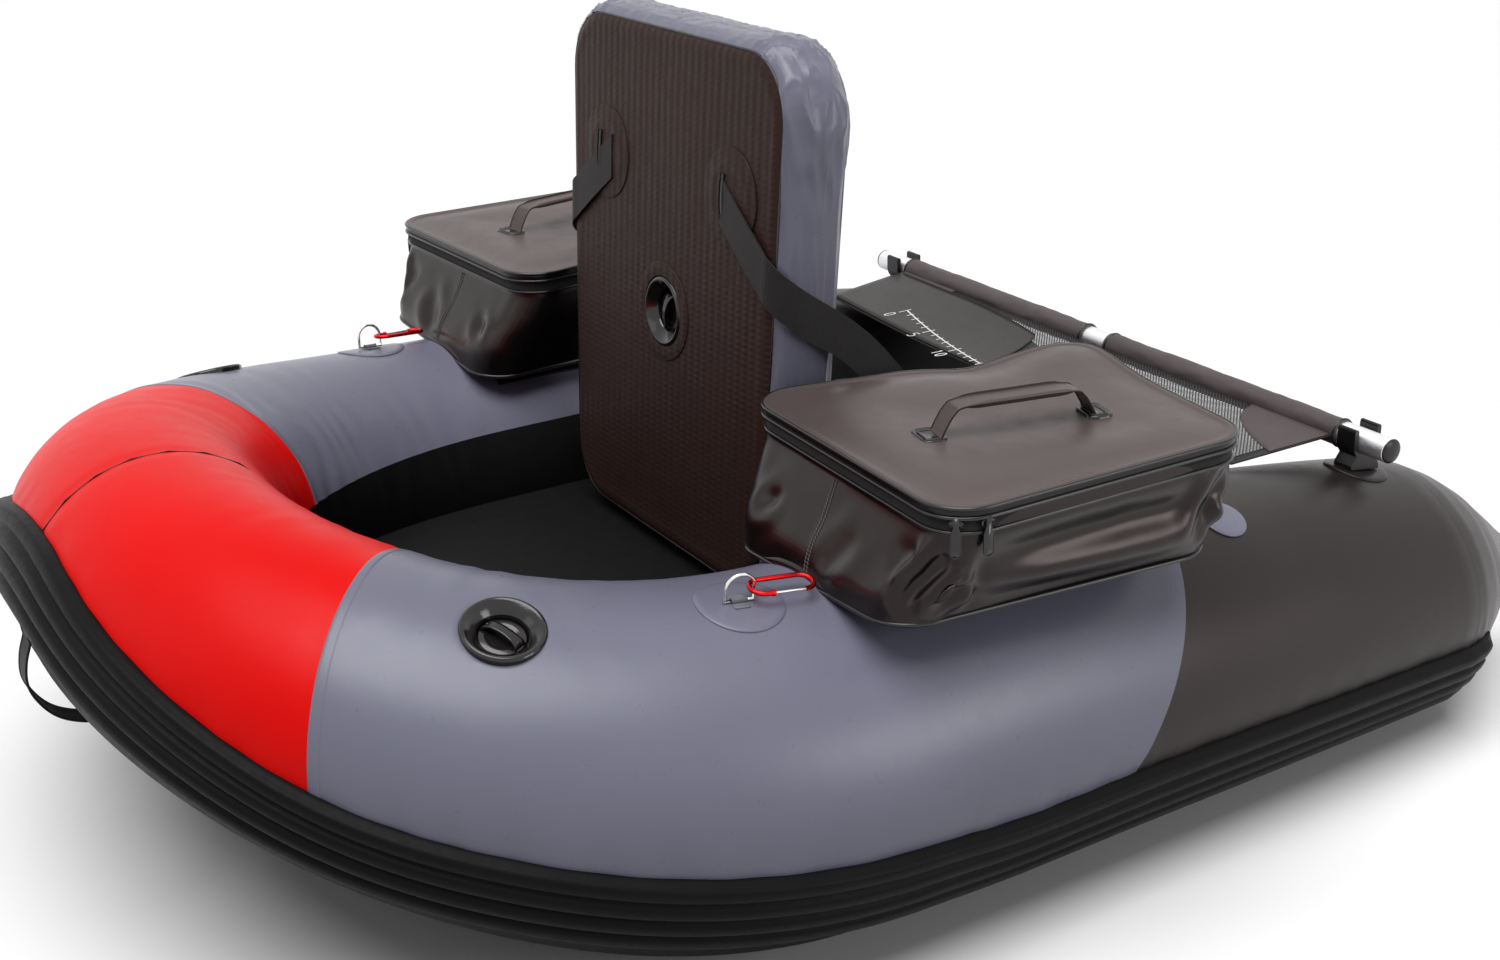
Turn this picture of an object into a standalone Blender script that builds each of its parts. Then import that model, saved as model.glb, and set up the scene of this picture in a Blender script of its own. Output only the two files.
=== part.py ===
"""Inflatable float tube: a U-shaped hull with seat, backrest, side bags and a stripping bar.

Metres, +Z up. The user sits facing +Y, so the closed bow is at -Y and +X is the right side.
The origin is on the ground under the middle of the outline.
"""

import math

import bmesh
import bpy
from mathutils import Matrix, Vector

# Driving dimensions of the hull
HALF_TRACK = 0.405          # middle plane to the centre line of a side tube
BOW_DEPTH = 0.487           # straight sides to the centre line of the bow
SIDE_LENGTH = 0.726         # straight part of a side tube
CONE_LENGTH = 0.210         # tapered tail
SIDE_RADIUS = 0.173
BOW_RADIUS = 0.134
TAIL_RADIUS = 0.141
BOW_LIFT = 0.128            # rise of the bow's centre line
CONE_DROP = 0.013           # fall of the tail's centre line towards its tip
BOW_SHARE_POWER = 2.313     # fullness of the bow curve seen from above
GAP = 0.0003                # clearance between pieces that touch
FABRIC_GAP = 0.0006         # the same under a curved skin, whose facets cut the corner
OVERRUN = 0.03              # cutters run this far past what they cut

# Stations along the tube: 0 bow, 1 to 2 straight side, 3 tip of the tail
RED_SEAM_SHARE = 0.446
BLACK_SEAM_SHARE = 1.336
TUBE_SIDES = 24
FLAT = math.cos(math.pi / TUBE_SIDES)
STATION_STEP_SHARE = 1e-4
WELD_DISTANCE = 1e-5         # points closer than this are one point
CONE_SHARES = ((0, 1), (0.13, 0.93), (0.24, 0.82), (0.45, 0.66), (0.65, 0.45), (0.85, 0.28), (0.95, 0.17))
UP = Vector((0, 0, 1))
SIDEWAYS_MIRROR = Matrix.Diagonal((-1, 1, 1, 1))

# Strake: the ribbed rubber band round the outside
STRAKE_WIDTH = 0.080
STRAKE_PROUD = 0.012
STRAKE_END = 0.050          # run past the straight side onto the tail

# Colours
RED = (0.48, 0.012, 0.016)
GREY = (0.29, 0.29, 0.36)
BLACK = (0.018, 0.016, 0.018)
BAG_BLACK = (0.045, 0.036, 0.038)
STEEL = (0.62, 0.62, 0.64)
ALUMINIUM = (0.72, 0.72, 0.75)

# Reach of the outline fore and aft, which sets the origin
BOW_REACH = BOW_DEPTH + BOW_RADIUS + STRAKE_PROUD
STERN_REACH = SIDE_LENGTH + CONE_LENGTH
MIDDLE = (STERN_REACH - BOW_REACH) / 2


def start_scene():
    """Empty scene with the parts' collection, the cutters' collection and the hull's origin."""
    for item in list(bpy.data.objects):
        bpy.data.objects.remove(item, do_unlink=True)
    parts = bpy.data.collections.new("float_tube")
    cutters = bpy.data.collections.new("cutters")
    for group in (parts, cutters):
        bpy.context.scene.collection.children.link(group)
    origin = bpy.data.objects.new("hull_origin", None)
    origin.location = (0, -MIDDLE, 0)
    parts.objects.link(origin)
    return parts, cutters, origin


PARTS, CUTTERS, ORIGIN = start_scene()


def finish_material(name, colour, roughness, metallic=0.0):
    """Principled material in the piece's colour."""
    material = bpy.data.materials.new(name)
    material.use_nodes = True
    shader = material.node_tree.nodes["Principled BSDF"]
    shader.inputs["Base Color"].default_value = (*colour, 1)
    shader.inputs["Roughness"].default_value = roughness
    shader.inputs["Metallic"].default_value = metallic
    return material


def add_object(name, data, colour, roughness=0.5, metallic=0.0, frame=None):
    """Object in the hull's frame with a material of its own."""
    item = bpy.data.objects.new(name, data)
    PARTS.objects.link(item)
    item.parent = ORIGIN
    if frame is not None:
        item.matrix_basis = frame
    data.materials.append(finish_material(name, colour, roughness, metallic))
    return item


def mesh_of(name, points, faces):
    """Mesh with its faces turned outwards."""
    mesh = bpy.data.meshes.new(name)
    mesh.from_pydata([tuple(p) for p in points], [], faces)
    shell = bmesh.new()
    shell.from_mesh(mesh)
    bmesh.ops.recalc_face_normals(shell, faces=shell.faces)
    shell.to_mesh(mesh)
    shell.free()
    return mesh


def centre_of(ring):
    return sum((Vector(p) for p in ring), Vector()) / len(ring)


def skin_faces(rows, count, closed=True):
    """Quads between neighbouring rows of points."""
    faces = []
    for row in range(rows - 1):
        low = row * count
        for k in range(count if closed else count - 1):
            nxt = (k + 1) % count
            faces.append((low + k, low + nxt, low + count + nxt, low + count + k))
    return faces


def loft(name, rings, first_hub=None, last_hub=None):
    """Closed skin through rings of equal count, fanned shut round a hub at each end."""
    count = len(rings[0])
    points = [p for ring in rings for p in ring]
    faces = skin_faces(len(rings), count)
    last_start = (len(rings) - 1) * count
    hubs = ((0, first_hub or centre_of(rings[0])), (last_start, last_hub or centre_of(rings[-1])))
    for start, hub in hubs:
        points.append(hub)
        for k in range(count):
            faces.append((len(points) - 1, start + k, start + (k + 1) % count))
    return mesh_of(name, points, faces)


def in_triangles(mesh):
    """A twisted skin's quads split, so that it has one shape however it is read."""
    shell = bmesh.new()
    shell.from_mesh(mesh)
    bmesh.ops.triangulate(shell, faces=shell.faces)
    shell.to_mesh(mesh)
    shell.free()
    return mesh


def smooth(item, angle=math.radians(35)):
    """Round pieces are shaded smooth, with sharp edges where they turn hard."""
    item.data.shade_smooth()
    item.data.set_sharp_from_angle(angle=angle)
    return item


def evaluated_mesh(item):
    """Mesh of an object with its modifiers or its curve made into faces."""
    bpy.context.view_layer.update()
    graph = bpy.context.evaluated_depsgraph_get()
    return bpy.data.meshes.new_from_object(item.evaluated_get(graph), depsgraph=graph)


def left_copy(item, name):
    """Mirror image of a right-hand piece, as an object of its own."""
    mesh = evaluated_mesh(item)
    mesh.name = name
    mesh.transform(SIDEWAYS_MIRROR)
    mesh.flip_normals()
    material = item.data.materials[0].copy()
    material.name = name
    mesh.materials[0] = material
    twin = bpy.data.objects.new(name, mesh)
    PARTS.objects.link(twin)
    twin.parent = ORIGIN
    twin.matrix_basis = SIDEWAYS_MIRROR @ item.matrix_basis @ SIDEWAYS_MIRROR
    return twin


def both_sides(item):
    """A right-hand piece, and its twin on the left."""
    left_copy(item, item.name.replace("right", "left"))
    return item


# The tube's shape
def cone_radius_share(along_share):
    """Radius of the tapered tail as a share of its start, between the listed places."""
    for (near, near_share), (far, far_share) in zip(CONE_SHARES, CONE_SHARES[1:]):
        if along_share <= far:
            return near_share + (far_share - near_share) * (along_share - near) / (far - near)
    return CONE_SHARES[-1][1]


def spine(station):
    """Centre and radius of the tube at a station; negative stations are on the left."""
    hand = math.copysign(1, station)
    place = abs(station)
    if place <= 1:
        turn = place * math.pi / 2
        x = HALF_TRACK * math.sin(turn) ** (2 / BOW_SHARE_POWER)
        ahead_share = abs(math.cos(turn)) ** (2 / BOW_SHARE_POWER)
        rise_share = ahead_share ** 2
        y = -BOW_DEPTH * ahead_share
        radius = SIDE_RADIUS + (BOW_RADIUS - SIDE_RADIUS) * rise_share
        height = SIDE_RADIUS * FLAT + BOW_LIFT * rise_share
    elif place <= 2:
        x = HALF_TRACK
        y = (place - 1) * SIDE_LENGTH
        radius = SIDE_RADIUS + (TAIL_RADIUS - SIDE_RADIUS) * (place - 1) ** 2
        height = radius * FLAT
    else:
        x = HALF_TRACK
        y = SIDE_LENGTH + (place - 2) * CONE_LENGTH
        radius = TAIL_RADIUS * cone_radius_share(place - 2)
        height = TAIL_RADIUS * FLAT - CONE_DROP * (place - 2)
    return Vector((hand * x, y, height)), radius


def station_at(y):
    """Station of the straight side at a distance aft of its start."""
    return 1 + y / SIDE_LENGTH


def heading(station):
    run = spine(station + STATION_STEP_SHARE)[0] - spine(station - STATION_STEP_SHARE)[0]
    run.z = 0
    return run.normalized()


def outward(station, angle):
    """Direction away from the tube's centre line; angle 0 faces outboard and a quarter turn is up."""
    run = heading(station)
    outboard = Vector((run.y, -run.x, 0))
    return math.cos(angle) * outboard + math.sin(angle) * UP


def on_tube(station, angle, lift=0.0):
    """Point over the tube's skin."""
    centre, radius = spine(station)
    return centre + (radius + lift) * outward(station, angle)


def tube_frame(station, angle, lift=0.0):
    """Frame on the skin: local X across the tube, Y along it towards the tail, Z outwards."""
    along = on_tube(station + STATION_STEP_SHARE, angle) - on_tube(station - STATION_STEP_SHARE, angle)
    around = on_tube(station, angle - STATION_STEP_SHARE) - on_tube(station, angle + STATION_STEP_SHARE)
    along.normalize()
    normal = around.cross(along).normalized()
    across = along.cross(normal)
    frame = Matrix((across, along, normal)).transposed().to_4x4()
    frame.translation = on_tube(station, angle) + normal * lift
    return frame


def spread(first, last, steps):
    return [first + (last - first) * k / steps for k in range(steps + 1)]


RED_STATIONS = spread(0, RED_SEAM_SHARE, 9)
GREY_STATIONS = spread(RED_SEAM_SHARE, 1, 10) + [(1 + BLACK_SEAM_SHARE) / 2, BLACK_SEAM_SHARE]
BLACK_STATIONS = spread(BLACK_SEAM_SHARE, 2, 3) + [2 + along_share for along_share, _ in CONE_SHARES[1:]]


# Hull tubes
BAFFLE_THICKNESS = 0.0012
SEAM_RAKE = 0.110           # the grey to black seam leans aft at its top


def tube_ring(station, rake=0.0, shift=0.0):
    """Ring of the tube, with flat facets under it; the rake slides each point along the tube."""
    ring = []
    for k in range(TUBE_SIDES):
        angle = (k + 0.5) * math.tau / TUBE_SIDES
        place = station + rake / SIDE_LENGTH * math.sin(angle)
        ring.append(on_tube(place, angle) + shift * heading(place))
    return ring


def tube_panel(name, stations, first, last, colour, roughness, tip=None):
    """One welded panel of the tube; first and last are the (rake, shift) of its two ends."""
    rings = [tube_ring(stations[0], *first)]
    rings += [tube_ring(station) for station in stations[1:-1]]
    rings.append(tube_ring(stations[-1], *last))
    return smooth(add_object(name, loft(name, rings, last_hub=tip), colour, roughness))


def hull_tubes():
    """Red bow, grey side and black tail panel of the right-hand chamber."""
    seam = GAP / 2
    bow = tube_panel("bow_tube_right", RED_STATIONS, (0, BAFFLE_THICKNESS / 2 + GAP), (0, -seam), RED, 0.25)
    side = tube_panel("side_tube_right", GREY_STATIONS, (0, seam), (SEAM_RAKE, -seam), GREY, 0.32)
    tip = spine(3)[0]
    tail = tube_panel("tail_tube_right", BLACK_STATIONS, (SEAM_RAKE, seam), (0, 0), BLACK, 0.42, tip)
    return bow, side, tail


def bow_baffle():
    """Disc between the two air chambers at the bow centre."""
    half = BAFFLE_THICKNESS / 2
    rings = [[p + Vector((x, 0, 0)) for p in tube_ring(0)] for x in (-half, half)]
    add_object("bow_baffle", loft("bow_baffle", rings), BLACK, 0.6)


# Strake
STRAKE_TOP_DEGREES = (
    (0, 39), (0.06, 37.2), (0.12, 32.2), (0.25, 21), (0.36, 11.5), (0.44, 5), (0.52, 1),
    (0.75, -4), (1, -7.6),
    (1.12, -10.6), (1.35, -9), (3, -12),
)
STRAKE_OUTER_SHARES = (
    (0, 0.35), (0.05, 0.85), (0.14, 1), (0.22, 1), (0.27, 0.55), (0.32, 1), (0.44, 1), (0.5, 0.55),
    (0.56, 1), (0.68, 1), (0.73, 0.55), (0.78, 1), (0.86, 1), (0.95, 0.85), (1, 0.35),
)
STRAKE_BACK_STEPS = 5
STRAKE_SEAT = 0.0008


def strake_top(station):
    """Angle of the strake's upper edge."""
    place = abs(station)
    for (near, near_angle), (far, far_angle) in zip(STRAKE_TOP_DEGREES, STRAKE_TOP_DEGREES[1:]):
        if place <= far:
            ease = (place - near) / (far - near)
            return math.radians(near_angle + (far_angle - near_angle) * ease)
    return math.radians(STRAKE_TOP_DEGREES[-1][1])


def strake_section(station):
    """Ridged face of the band, then its back against the tube."""
    top = strake_top(station)
    spread_angle = STRAKE_WIDTH / spine(station)[1]
    ring = []
    for across_share, proud_share in STRAKE_OUTER_SHARES:
        ring.append(on_tube(station, top - spread_angle * across_share, STRAKE_PROUD * proud_share))
    for k in range(STRAKE_BACK_STEPS, -1, -1):
        ring.append(on_tube(station, top - spread_angle * k / STRAKE_BACK_STEPS, STRAKE_SEAT))
    return ring


def rubbing_strake():
    end = 2 + STRAKE_END / CONE_LENGTH
    places = [s for s in RED_STATIONS[1:] + GREY_STATIONS[1:] + BLACK_STATIONS[1:] if s < end] + [end]
    stations = [-s for s in reversed(places)] + [0] + places
    mesh = loft("rubbing_strake", [strake_section(station) for station in stations])
    smooth(add_object("rubbing_strake", mesh, BLACK, 0.45), math.radians(25))


# Floor in the well
FLOOR_TOP = 0.200
FLOOR_THICKNESS = 0.012
FLOOR_END = 0.460
FLOOR_CLEARANCE = 0.0009


def wall_reach(station, height):
    """Sideways reach of the faceted tube at a height."""
    centre, radius = spine(station)
    level = height - centre.z
    reaches = []
    for k in range(-5, 6):
        tilt = k * math.tau / TUBE_SIDES
        reaches.append((radius * FLAT - level * math.sin(tilt)) / math.cos(tilt))
    return min(reaches)


def inner_wall(station, height):
    """Point at a height beside the tube's inner wall, clear of the floor's whole edge."""
    run = heading(station)
    outboard = Vector((run.y, -run.x, 0))
    reach = max(wall_reach(station, FLOOR_TOP), wall_reach(station, FLOOR_TOP - FLOOR_THICKNESS))
    point = spine(station)[0] - outboard * (reach + FLOOR_CLEARANCE)
    return Vector((point.x, point.y, height))


def floor_panel():
    """Stiff floor of the well, its edge on the tube's inner wall."""
    places = RED_STATIONS[1:] + [s for s in GREY_STATIONS[1:] if s < station_at(FLOOR_END)]
    places += [s for s in BLACK_STATIONS[1:] if s < station_at(FLOOR_END)] + [station_at(FLOOR_END)]
    stations = [-s for s in reversed(places)] + [0] + places
    rings = []
    for height in (FLOOR_TOP - FLOOR_THICKNESS, FLOOR_TOP):
        rings.append([inner_wall(station, height) for station in stations])
    add_object("floor_panel", loft("floor_panel", rings), BLACK, 0.6)


# Outlines
def inset_corners(corners, inset):
    """Convex outline with each edge moved inwards."""
    moved = []
    count = len(corners)
    for k, corner in enumerate(corners):
        here = Vector(corner)
        before = (here - Vector(corners[k - 1])).normalized()
        after = (Vector(corners[(k + 1) % count]) - here).normalized()
        first = Vector((-before.y, before.x))
        second = Vector((-after.y, after.x))
        moved.append(here + inset * (first + second) / (1 + first.dot(second)))
    return moved


CORNER_STEPS = 4
EDGE_STEPS = 3


def rounded_outline(corners, radius, inset=0.0):
    """Outline with round corners and a few points along each edge, anticlockwise."""
    corners = inset_corners(corners, inset)
    radius = max(radius - inset, radius / CORNER_STEPS)
    arcs = []
    count = len(corners)
    for k, here in enumerate(corners):
        before = (corners[k - 1] - here).normalized()
        after = (corners[(k + 1) % count] - here).normalized()
        half_angle = before.angle(after) / 2
        middle = here + (before + after).normalized() * radius / math.sin(half_angle)
        start = here + before * radius / math.tan(half_angle) - middle
        sweep = math.pi - 2 * half_angle
        arc = []
        for step in range(CORNER_STEPS + 1):
            turn = Matrix.Rotation(sweep * step / CORNER_STEPS, 2)
            arc.append(middle + turn @ start)
        arcs.append(arc)
    outline = []
    for k, arc in enumerate(arcs):
        outline += arc
        far = arcs[(k + 1) % count][0]
        outline += [arc[-1].lerp(far, step / EDGE_STEPS) for step in range(1, EDGE_STEPS)]
    return outline


# Slabs held flat by inner threads: seat and backrest
SLAB_EDGE_STEPS = 3


def slab_rings(corners, corner_radius, thickness, edge_radius):
    """Rings of a slab lying in XY from height 0, with rounded edges."""
    rings = []
    for rising in (True, False):
        for k in range(SLAB_EDGE_STEPS + 1):
            turn = math.pi / 2 * k / SLAB_EDGE_STEPS
            turn = turn if rising else math.pi / 2 - turn
            inset = edge_radius * (1 - math.sin(turn))
            rise = edge_radius * (1 - math.cos(turn))
            level = rise if rising else thickness - rise
            rings.append([Vector((*p, level)) for p in rounded_outline(corners, corner_radius, inset)])
    return rings


SLAB_THICKNESS = 0.080
SLAB_EDGE_RADIUS = 0.026
BACKREST_TOP = 0.775
BACKREST_FOOT = 0.205
BACKREST_TOP_HALF = 0.226
BACKREST_FOOT_HALF = 0.208
BACKREST_CORNER = 0.075
BACKREST_LEAN = math.radians(3.6)
BACKREST_FACE_Y = 0.0438    # rear face at the foot
SEAT_LENGTH = 0.325
SEAT_HALF_WIDTH = 0.200
SEAT_CORNER = 0.060
SEAT_CROWN = 0.006
SEAT_CROWN_SHARE = 0.75
SEAT_EDGE_RADIUS = 0.018
SEAT_TOP = FLOOR_TOP + GAP + SLAB_THICKNESS
HINGE_HEIGHT = SEAT_TOP + SEAT_CROWN
HINGE_FACE_Y = BACKREST_FACE_Y + (HINGE_HEIGHT - BACKREST_FOOT) * math.tan(BACKREST_LEAN)
HINGE_Y = HINGE_FACE_Y + SLAB_THICKNESS / math.cos(BACKREST_LEAN)
SEAT_BACK_Y = HINGE_Y + GAP


def backrest_frame(x, height, proud):
    """Frame on the backrest's rear face: X to the user's left, Y up the face, Z out of it to the bow."""
    frame = Matrix.Rotation(math.pi / 2 - BACKREST_LEAN, 4, "X")
    face_y = BACKREST_FACE_Y + (height - BACKREST_FOOT) * math.tan(BACKREST_LEAN)
    frame.translation = Vector((x, face_y, height)) + frame.to_3x3() @ Vector((0, 0, proud))
    return frame


def backrest_pad():
    """Upright slab; its local origin is on the hinge line."""
    height = BACKREST_TOP - BACKREST_FOOT
    corners = (
        (-BACKREST_FOOT_HALF, 0), (BACKREST_FOOT_HALF, 0),
        (BACKREST_TOP_HALF, height), (-BACKREST_TOP_HALF, height),
    )
    rings = slab_rings(corners, BACKREST_CORNER, SLAB_THICKNESS, SLAB_EDGE_RADIUS)
    mesh = loft("backrest_pad", rings)
    on_face = backrest_frame(0, BACKREST_FOOT, 0) @ Matrix.Translation((0, 0, -SLAB_THICKNESS))
    hinge = Matrix.Translation((0, HINGE_Y, HINGE_HEIGHT))
    mesh.transform(hinge.inverted() @ on_face)
    return smooth(add_object("backrest_pad", mesh, BLACK, 0.5, frame=hinge))


def seat_cushion():
    """Seat slab on the floor, crowned on top."""
    corners = (
        (-SEAT_HALF_WIDTH, 0), (SEAT_HALF_WIDTH, 0),
        (SEAT_HALF_WIDTH, SEAT_LENGTH), (-SEAT_HALF_WIDTH, SEAT_LENGTH),
    )
    rings = slab_rings(corners, SEAT_CORNER, SLAB_THICKNESS, SEAT_EDGE_RADIUS)
    crown_inset = SEAT_HALF_WIDTH / 2
    level = SLAB_THICKNESS + SEAT_CROWN * SEAT_CROWN_SHARE
    rings.append([Vector((*p, level)) for p in rounded_outline(corners, SEAT_CORNER, crown_inset)])
    hub = Vector((0, SEAT_LENGTH / 2, SLAB_THICKNESS + SEAT_CROWN))
    frame = Matrix.Translation((0, SEAT_BACK_Y, FLOOR_TOP + GAP))
    mesh = loft("seat_cushion", rings, last_hub=hub)
    return smooth(add_object("seat_cushion", mesh, BLACK, 0.5, frame=frame))


# Turned pieces
TURN_STEPS = 24


def turned(name, profile, colour, roughness, metallic=0.0, frame=None, closed=False, steps=TURN_STEPS):
    """Profile of (radius, height) points, run down its outer side and turned about local Z."""
    mesh = bpy.data.meshes.new(name)
    edges = [(k, k + 1) for k in range(len(profile) - 1)]
    if closed:
        edges.append((len(profile) - 1, 0))
    mesh.from_pydata([(radius, 0, height) for radius, height in profile], edges, [])
    item = add_object(name, mesh, colour, roughness, metallic, frame)
    screw = item.modifiers.new("turn", "SCREW")
    screw.steps = steps
    screw.render_steps = steps
    screw.use_merge_vertices = True
    screw.merge_threshold = WELD_DISTANCE
    screw.use_smooth_shade = True
    return item


def as_cutter(item):
    """Keep an object as a guide for cutting only."""
    PARTS.objects.unlink(item)
    CUTTERS.objects.link(item)
    item.hide_render = True
    item.display_type = "WIRE"
    return item


def cut(item, cutter):
    boolean = item.modifiers.new("cut", "BOOLEAN")
    boolean.operation = "DIFFERENCE"
    boolean.object = cutter
    return item


# Air valves: a dished flange sunk in the skin, and a screw-in cap with an arched tab
FLANGE_RADIUS = 0.037
FLANGE_PROUD = 0.003
FLANGE_SEAT = 0.0055        # depth of the flange's underside below the skin
FLANGE_RIM = 0.004
BOWL_RADIUS = 0.0215
BOWL_DEPTH = 0.013
STEM_RADIUS = 0.0270
STEM_DEPTH = 0.024
CAP_RADIUS = BOWL_RADIUS - GAP
CAP_HEIGHT = 0.004
CAP_TOP_SHARE = 0.9
CAP_EDGE_SHARE = 0.7
TAB_HALF_WIDTH = 0.0045
TAB_RISE = 0.0075
TAB_THICKNESS = 0.0022
TAB_SPAN_SHARE = 0.88
TAB_STEPS = 8


def valve_profile(size_share):
    """Outer rim, underside, stem, then the dish seen from outside, as one closed loop to the axis."""
    profile = [
        (0, -BOWL_DEPTH), (BOWL_RADIUS, -BOWL_DEPTH), (BOWL_RADIUS, -BOWL_DEPTH + CAP_HEIGHT),
        (FLANGE_RADIUS - 2 * FLANGE_RIM, 0), (FLANGE_RADIUS - FLANGE_RIM, FLANGE_PROUD),
        (FLANGE_RADIUS - FLANGE_RIM / 2, FLANGE_PROUD), (FLANGE_RADIUS, FLANGE_PROUD - FLANGE_RIM / 2),
        (FLANGE_RADIUS, -FLANGE_SEAT), (STEM_RADIUS, -FLANGE_SEAT),
        (STEM_RADIUS, -STEM_DEPTH), (0, -STEM_DEPTH),
    ]
    return [(radius * size_share, height * size_share) for radius, height in profile]


def valve_pocket(name, frame, size_share):
    """Cutter for the pocket under a valve."""
    wide = FLANGE_RADIUS * size_share + GAP
    narrow = STEM_RADIUS * size_share + GAP
    shelf = -FLANGE_SEAT * size_share - GAP
    profile = [(0, OVERRUN), (wide, OVERRUN), (wide, shelf), (narrow, shelf)]
    profile += [(narrow, -STEM_DEPTH * size_share - GAP), (0, -STEM_DEPTH * size_share - GAP)]
    return as_cutter(turned(name, profile, BLACK, 0.5, frame=frame))


def valve_cap(name, frame, size_share):
    """Cap in the valve's bowl, with the arched tab that a thumb turns."""
    radius = (BOWL_RADIUS - GAP) * size_share
    base = -BOWL_DEPTH * size_share + GAP
    disc = [(0, base + CAP_HEIGHT * size_share), (radius * CAP_TOP_SHARE, base + CAP_HEIGHT * size_share)]
    disc += [(radius, base + CAP_HEIGHT * size_share * CAP_EDGE_SHARE), (radius, base), (0, base)]
    cap = turned(name, disc, BLACK, 0.2, frame=frame)
    crown = []
    for k in range(TAB_STEPS + 1):
        turn = math.pi * k / TAB_STEPS
        crown.append((math.cos(turn), math.sin(turn)))
    span = radius * TAB_SPAN_SHARE
    foot = base + CAP_HEIGHT * size_share / 2
    top = CAP_HEIGHT / 2 + TAB_RISE
    thick = TAB_THICKNESS * size_share
    outer = [(span * across, foot + top * size_share * rise) for across, rise in crown]
    inner_top = top * size_share - thick
    inner = [((span - thick) * across, foot + inner_top * rise) for across, rise in reversed(crown)]
    tab = flat_shape(name + "_tab", outer + inner, TAB_HALF_WIDTH * size_share, BLACK, 0.2, frame=frame)
    tab = as_cutter(made_mesh(tab))
    join = cap.modifiers.new("tab", "BOOLEAN")
    join.operation = "UNION"
    join.object = tab
    return cap


def flat_shape(name, outline, half_thickness, colour, roughness, metallic=0.0, frame=None):
    """Flat outline in local XZ, as thick as given each way along local Y."""
    curve = bpy.data.curves.new(name, "CURVE")
    curve.dimensions = "2D"
    curve.fill_mode = "BOTH"
    curve.extrude = half_thickness
    spline = curve.splines.new("POLY")
    spline.points.add(len(outline) - 1)
    for point, (x, z) in zip(spline.points, outline):
        point.co = (x, z, 0, 1)
    spline.use_cyclic_u = True
    stand = Matrix.Rotation(math.pi / 2, 4, "X")
    placed = stand if frame is None else frame @ stand
    return add_object(name, curve, colour, roughness, metallic, placed)


def made_mesh(item):
    """Curve object turned into a mesh object with its caps welded, in the same place."""
    mesh = evaluated_mesh(item)
    shell = bmesh.new()
    shell.from_mesh(mesh)
    bmesh.ops.remove_doubles(shell, verts=shell.verts, dist=WELD_DISTANCE)
    bmesh.ops.recalc_face_normals(shell, faces=shell.faces)
    shell.to_mesh(mesh)
    shell.free()
    name = item.name
    solid = bpy.data.objects.new(name + "_solid", mesh)
    PARTS.objects.link(solid)
    solid.parent = ORIGIN
    solid.matrix_basis = item.matrix_basis.copy()
    bpy.data.objects.remove(item, do_unlink=True)
    solid.name = name
    return solid


VALVE_STATION_SHARE = 0.627
VALVE_ANGLE = math.radians(70)
VALVE_TURN = math.radians(57)        # of the cap's tab, closed
BACK_VALVE_TURN = math.radians(80)
BACK_VALVE_HEIGHT = 0.472
SEAT_VALVE_SHARE = 0.56
BACK_PATCH_RADIUS = 0.053
BACK_PATCH_THICKNESS = 0.0015


def air_valve(name, host, frame, size_share=1.0):
    """Valve body in its pocket, and its cap, whose local Z is the axis it turns about."""
    cut(host, valve_pocket(name + "_pocket", frame, size_share))
    profile = valve_profile(size_share)
    body = turned(name, profile, BLACK, 0.2, frame=frame)
    cap = valve_cap(name.replace("valve", "valve_cap"), frame, size_share)
    return body, cap


def seat_valve(seat):
    front = Matrix.Rotation(-math.pi / 2, 4, "X")
    front.translation = (SEAT_HALF_WIDTH / 2, SEAT_BACK_Y + SEAT_LENGTH, FLOOR_TOP + GAP + SLAB_THICKNESS / 2)
    air_valve("seat_valve", seat, front, SEAT_VALVE_SHARE)


def backrest_valve(pad):
    frame = backrest_frame(0, BACK_VALVE_HEIGHT, 0) @ Matrix.Rotation(BACK_VALVE_TURN, 4, "Z")
    air_valve("backrest_valve", pad, frame)
    inner = FLANGE_RADIUS + GAP
    ring = [(inner, GAP), (inner, GAP + BACK_PATCH_THICKNESS)]
    ring += [(BACK_PATCH_RADIUS, GAP + BACK_PATCH_THICKNESS), (BACK_PATCH_RADIUS, GAP)]
    turned("backrest_valve_patch", ring, BLACK, 0.5, frame=frame, closed=True)


# Webbing: a flat band along a path
def band(name, path, normals, width, thickness, colour, roughness, frame=None):
    """Strip with a rectangular section; widths and thicknesses may change along it."""
    count = len(path)
    widths = width if isinstance(width, (list, tuple)) else [width] * count
    depths = thickness if isinstance(thickness, (list, tuple)) else [thickness] * count
    rings = []
    for k, (place, normal) in enumerate(zip(path, normals)):
        run = (path[min(k + 1, count - 1)] - path[max(k - 1, 0)]).normalized()
        normal = (normal - run * normal.dot(run)).normalized()
        side = run.cross(normal)
        half = side * widths[k] / 2
        deep = normal * depths[k] / 2
        rings.append([place + half + deep, place - half + deep, place - half - deep, place + half - deep])
    return smooth(add_object(name, loft(name, rings), colour, roughness, frame=frame))


def arch_path(half_span, foot, rise, corner, steps=4):
    """Path in local YZ: a foot, up over an arch with round shoulders, and down to the other foot."""
    path = [Vector((0, -half_span - foot, 0)), Vector((0, -half_span - corner / 2, 0))]
    normals = [UP, UP]
    for k in range(1, steps + 1):
        turn = math.pi / 2 * k / steps
        along = -half_span + corner - corner * math.cos(turn)
        path.append(Vector((0, along, rise - corner + corner * math.sin(turn))))
        normals.append(Vector((0, -math.cos(turn), math.sin(turn))))
    mirrored = [Vector((0, -p.y, p.z)) for p in reversed(path)]
    mirrored_normals = [Vector((0, -n.y, n.z)) for n in reversed(normals)]
    return path + mirrored, normals + mirrored_normals


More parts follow.
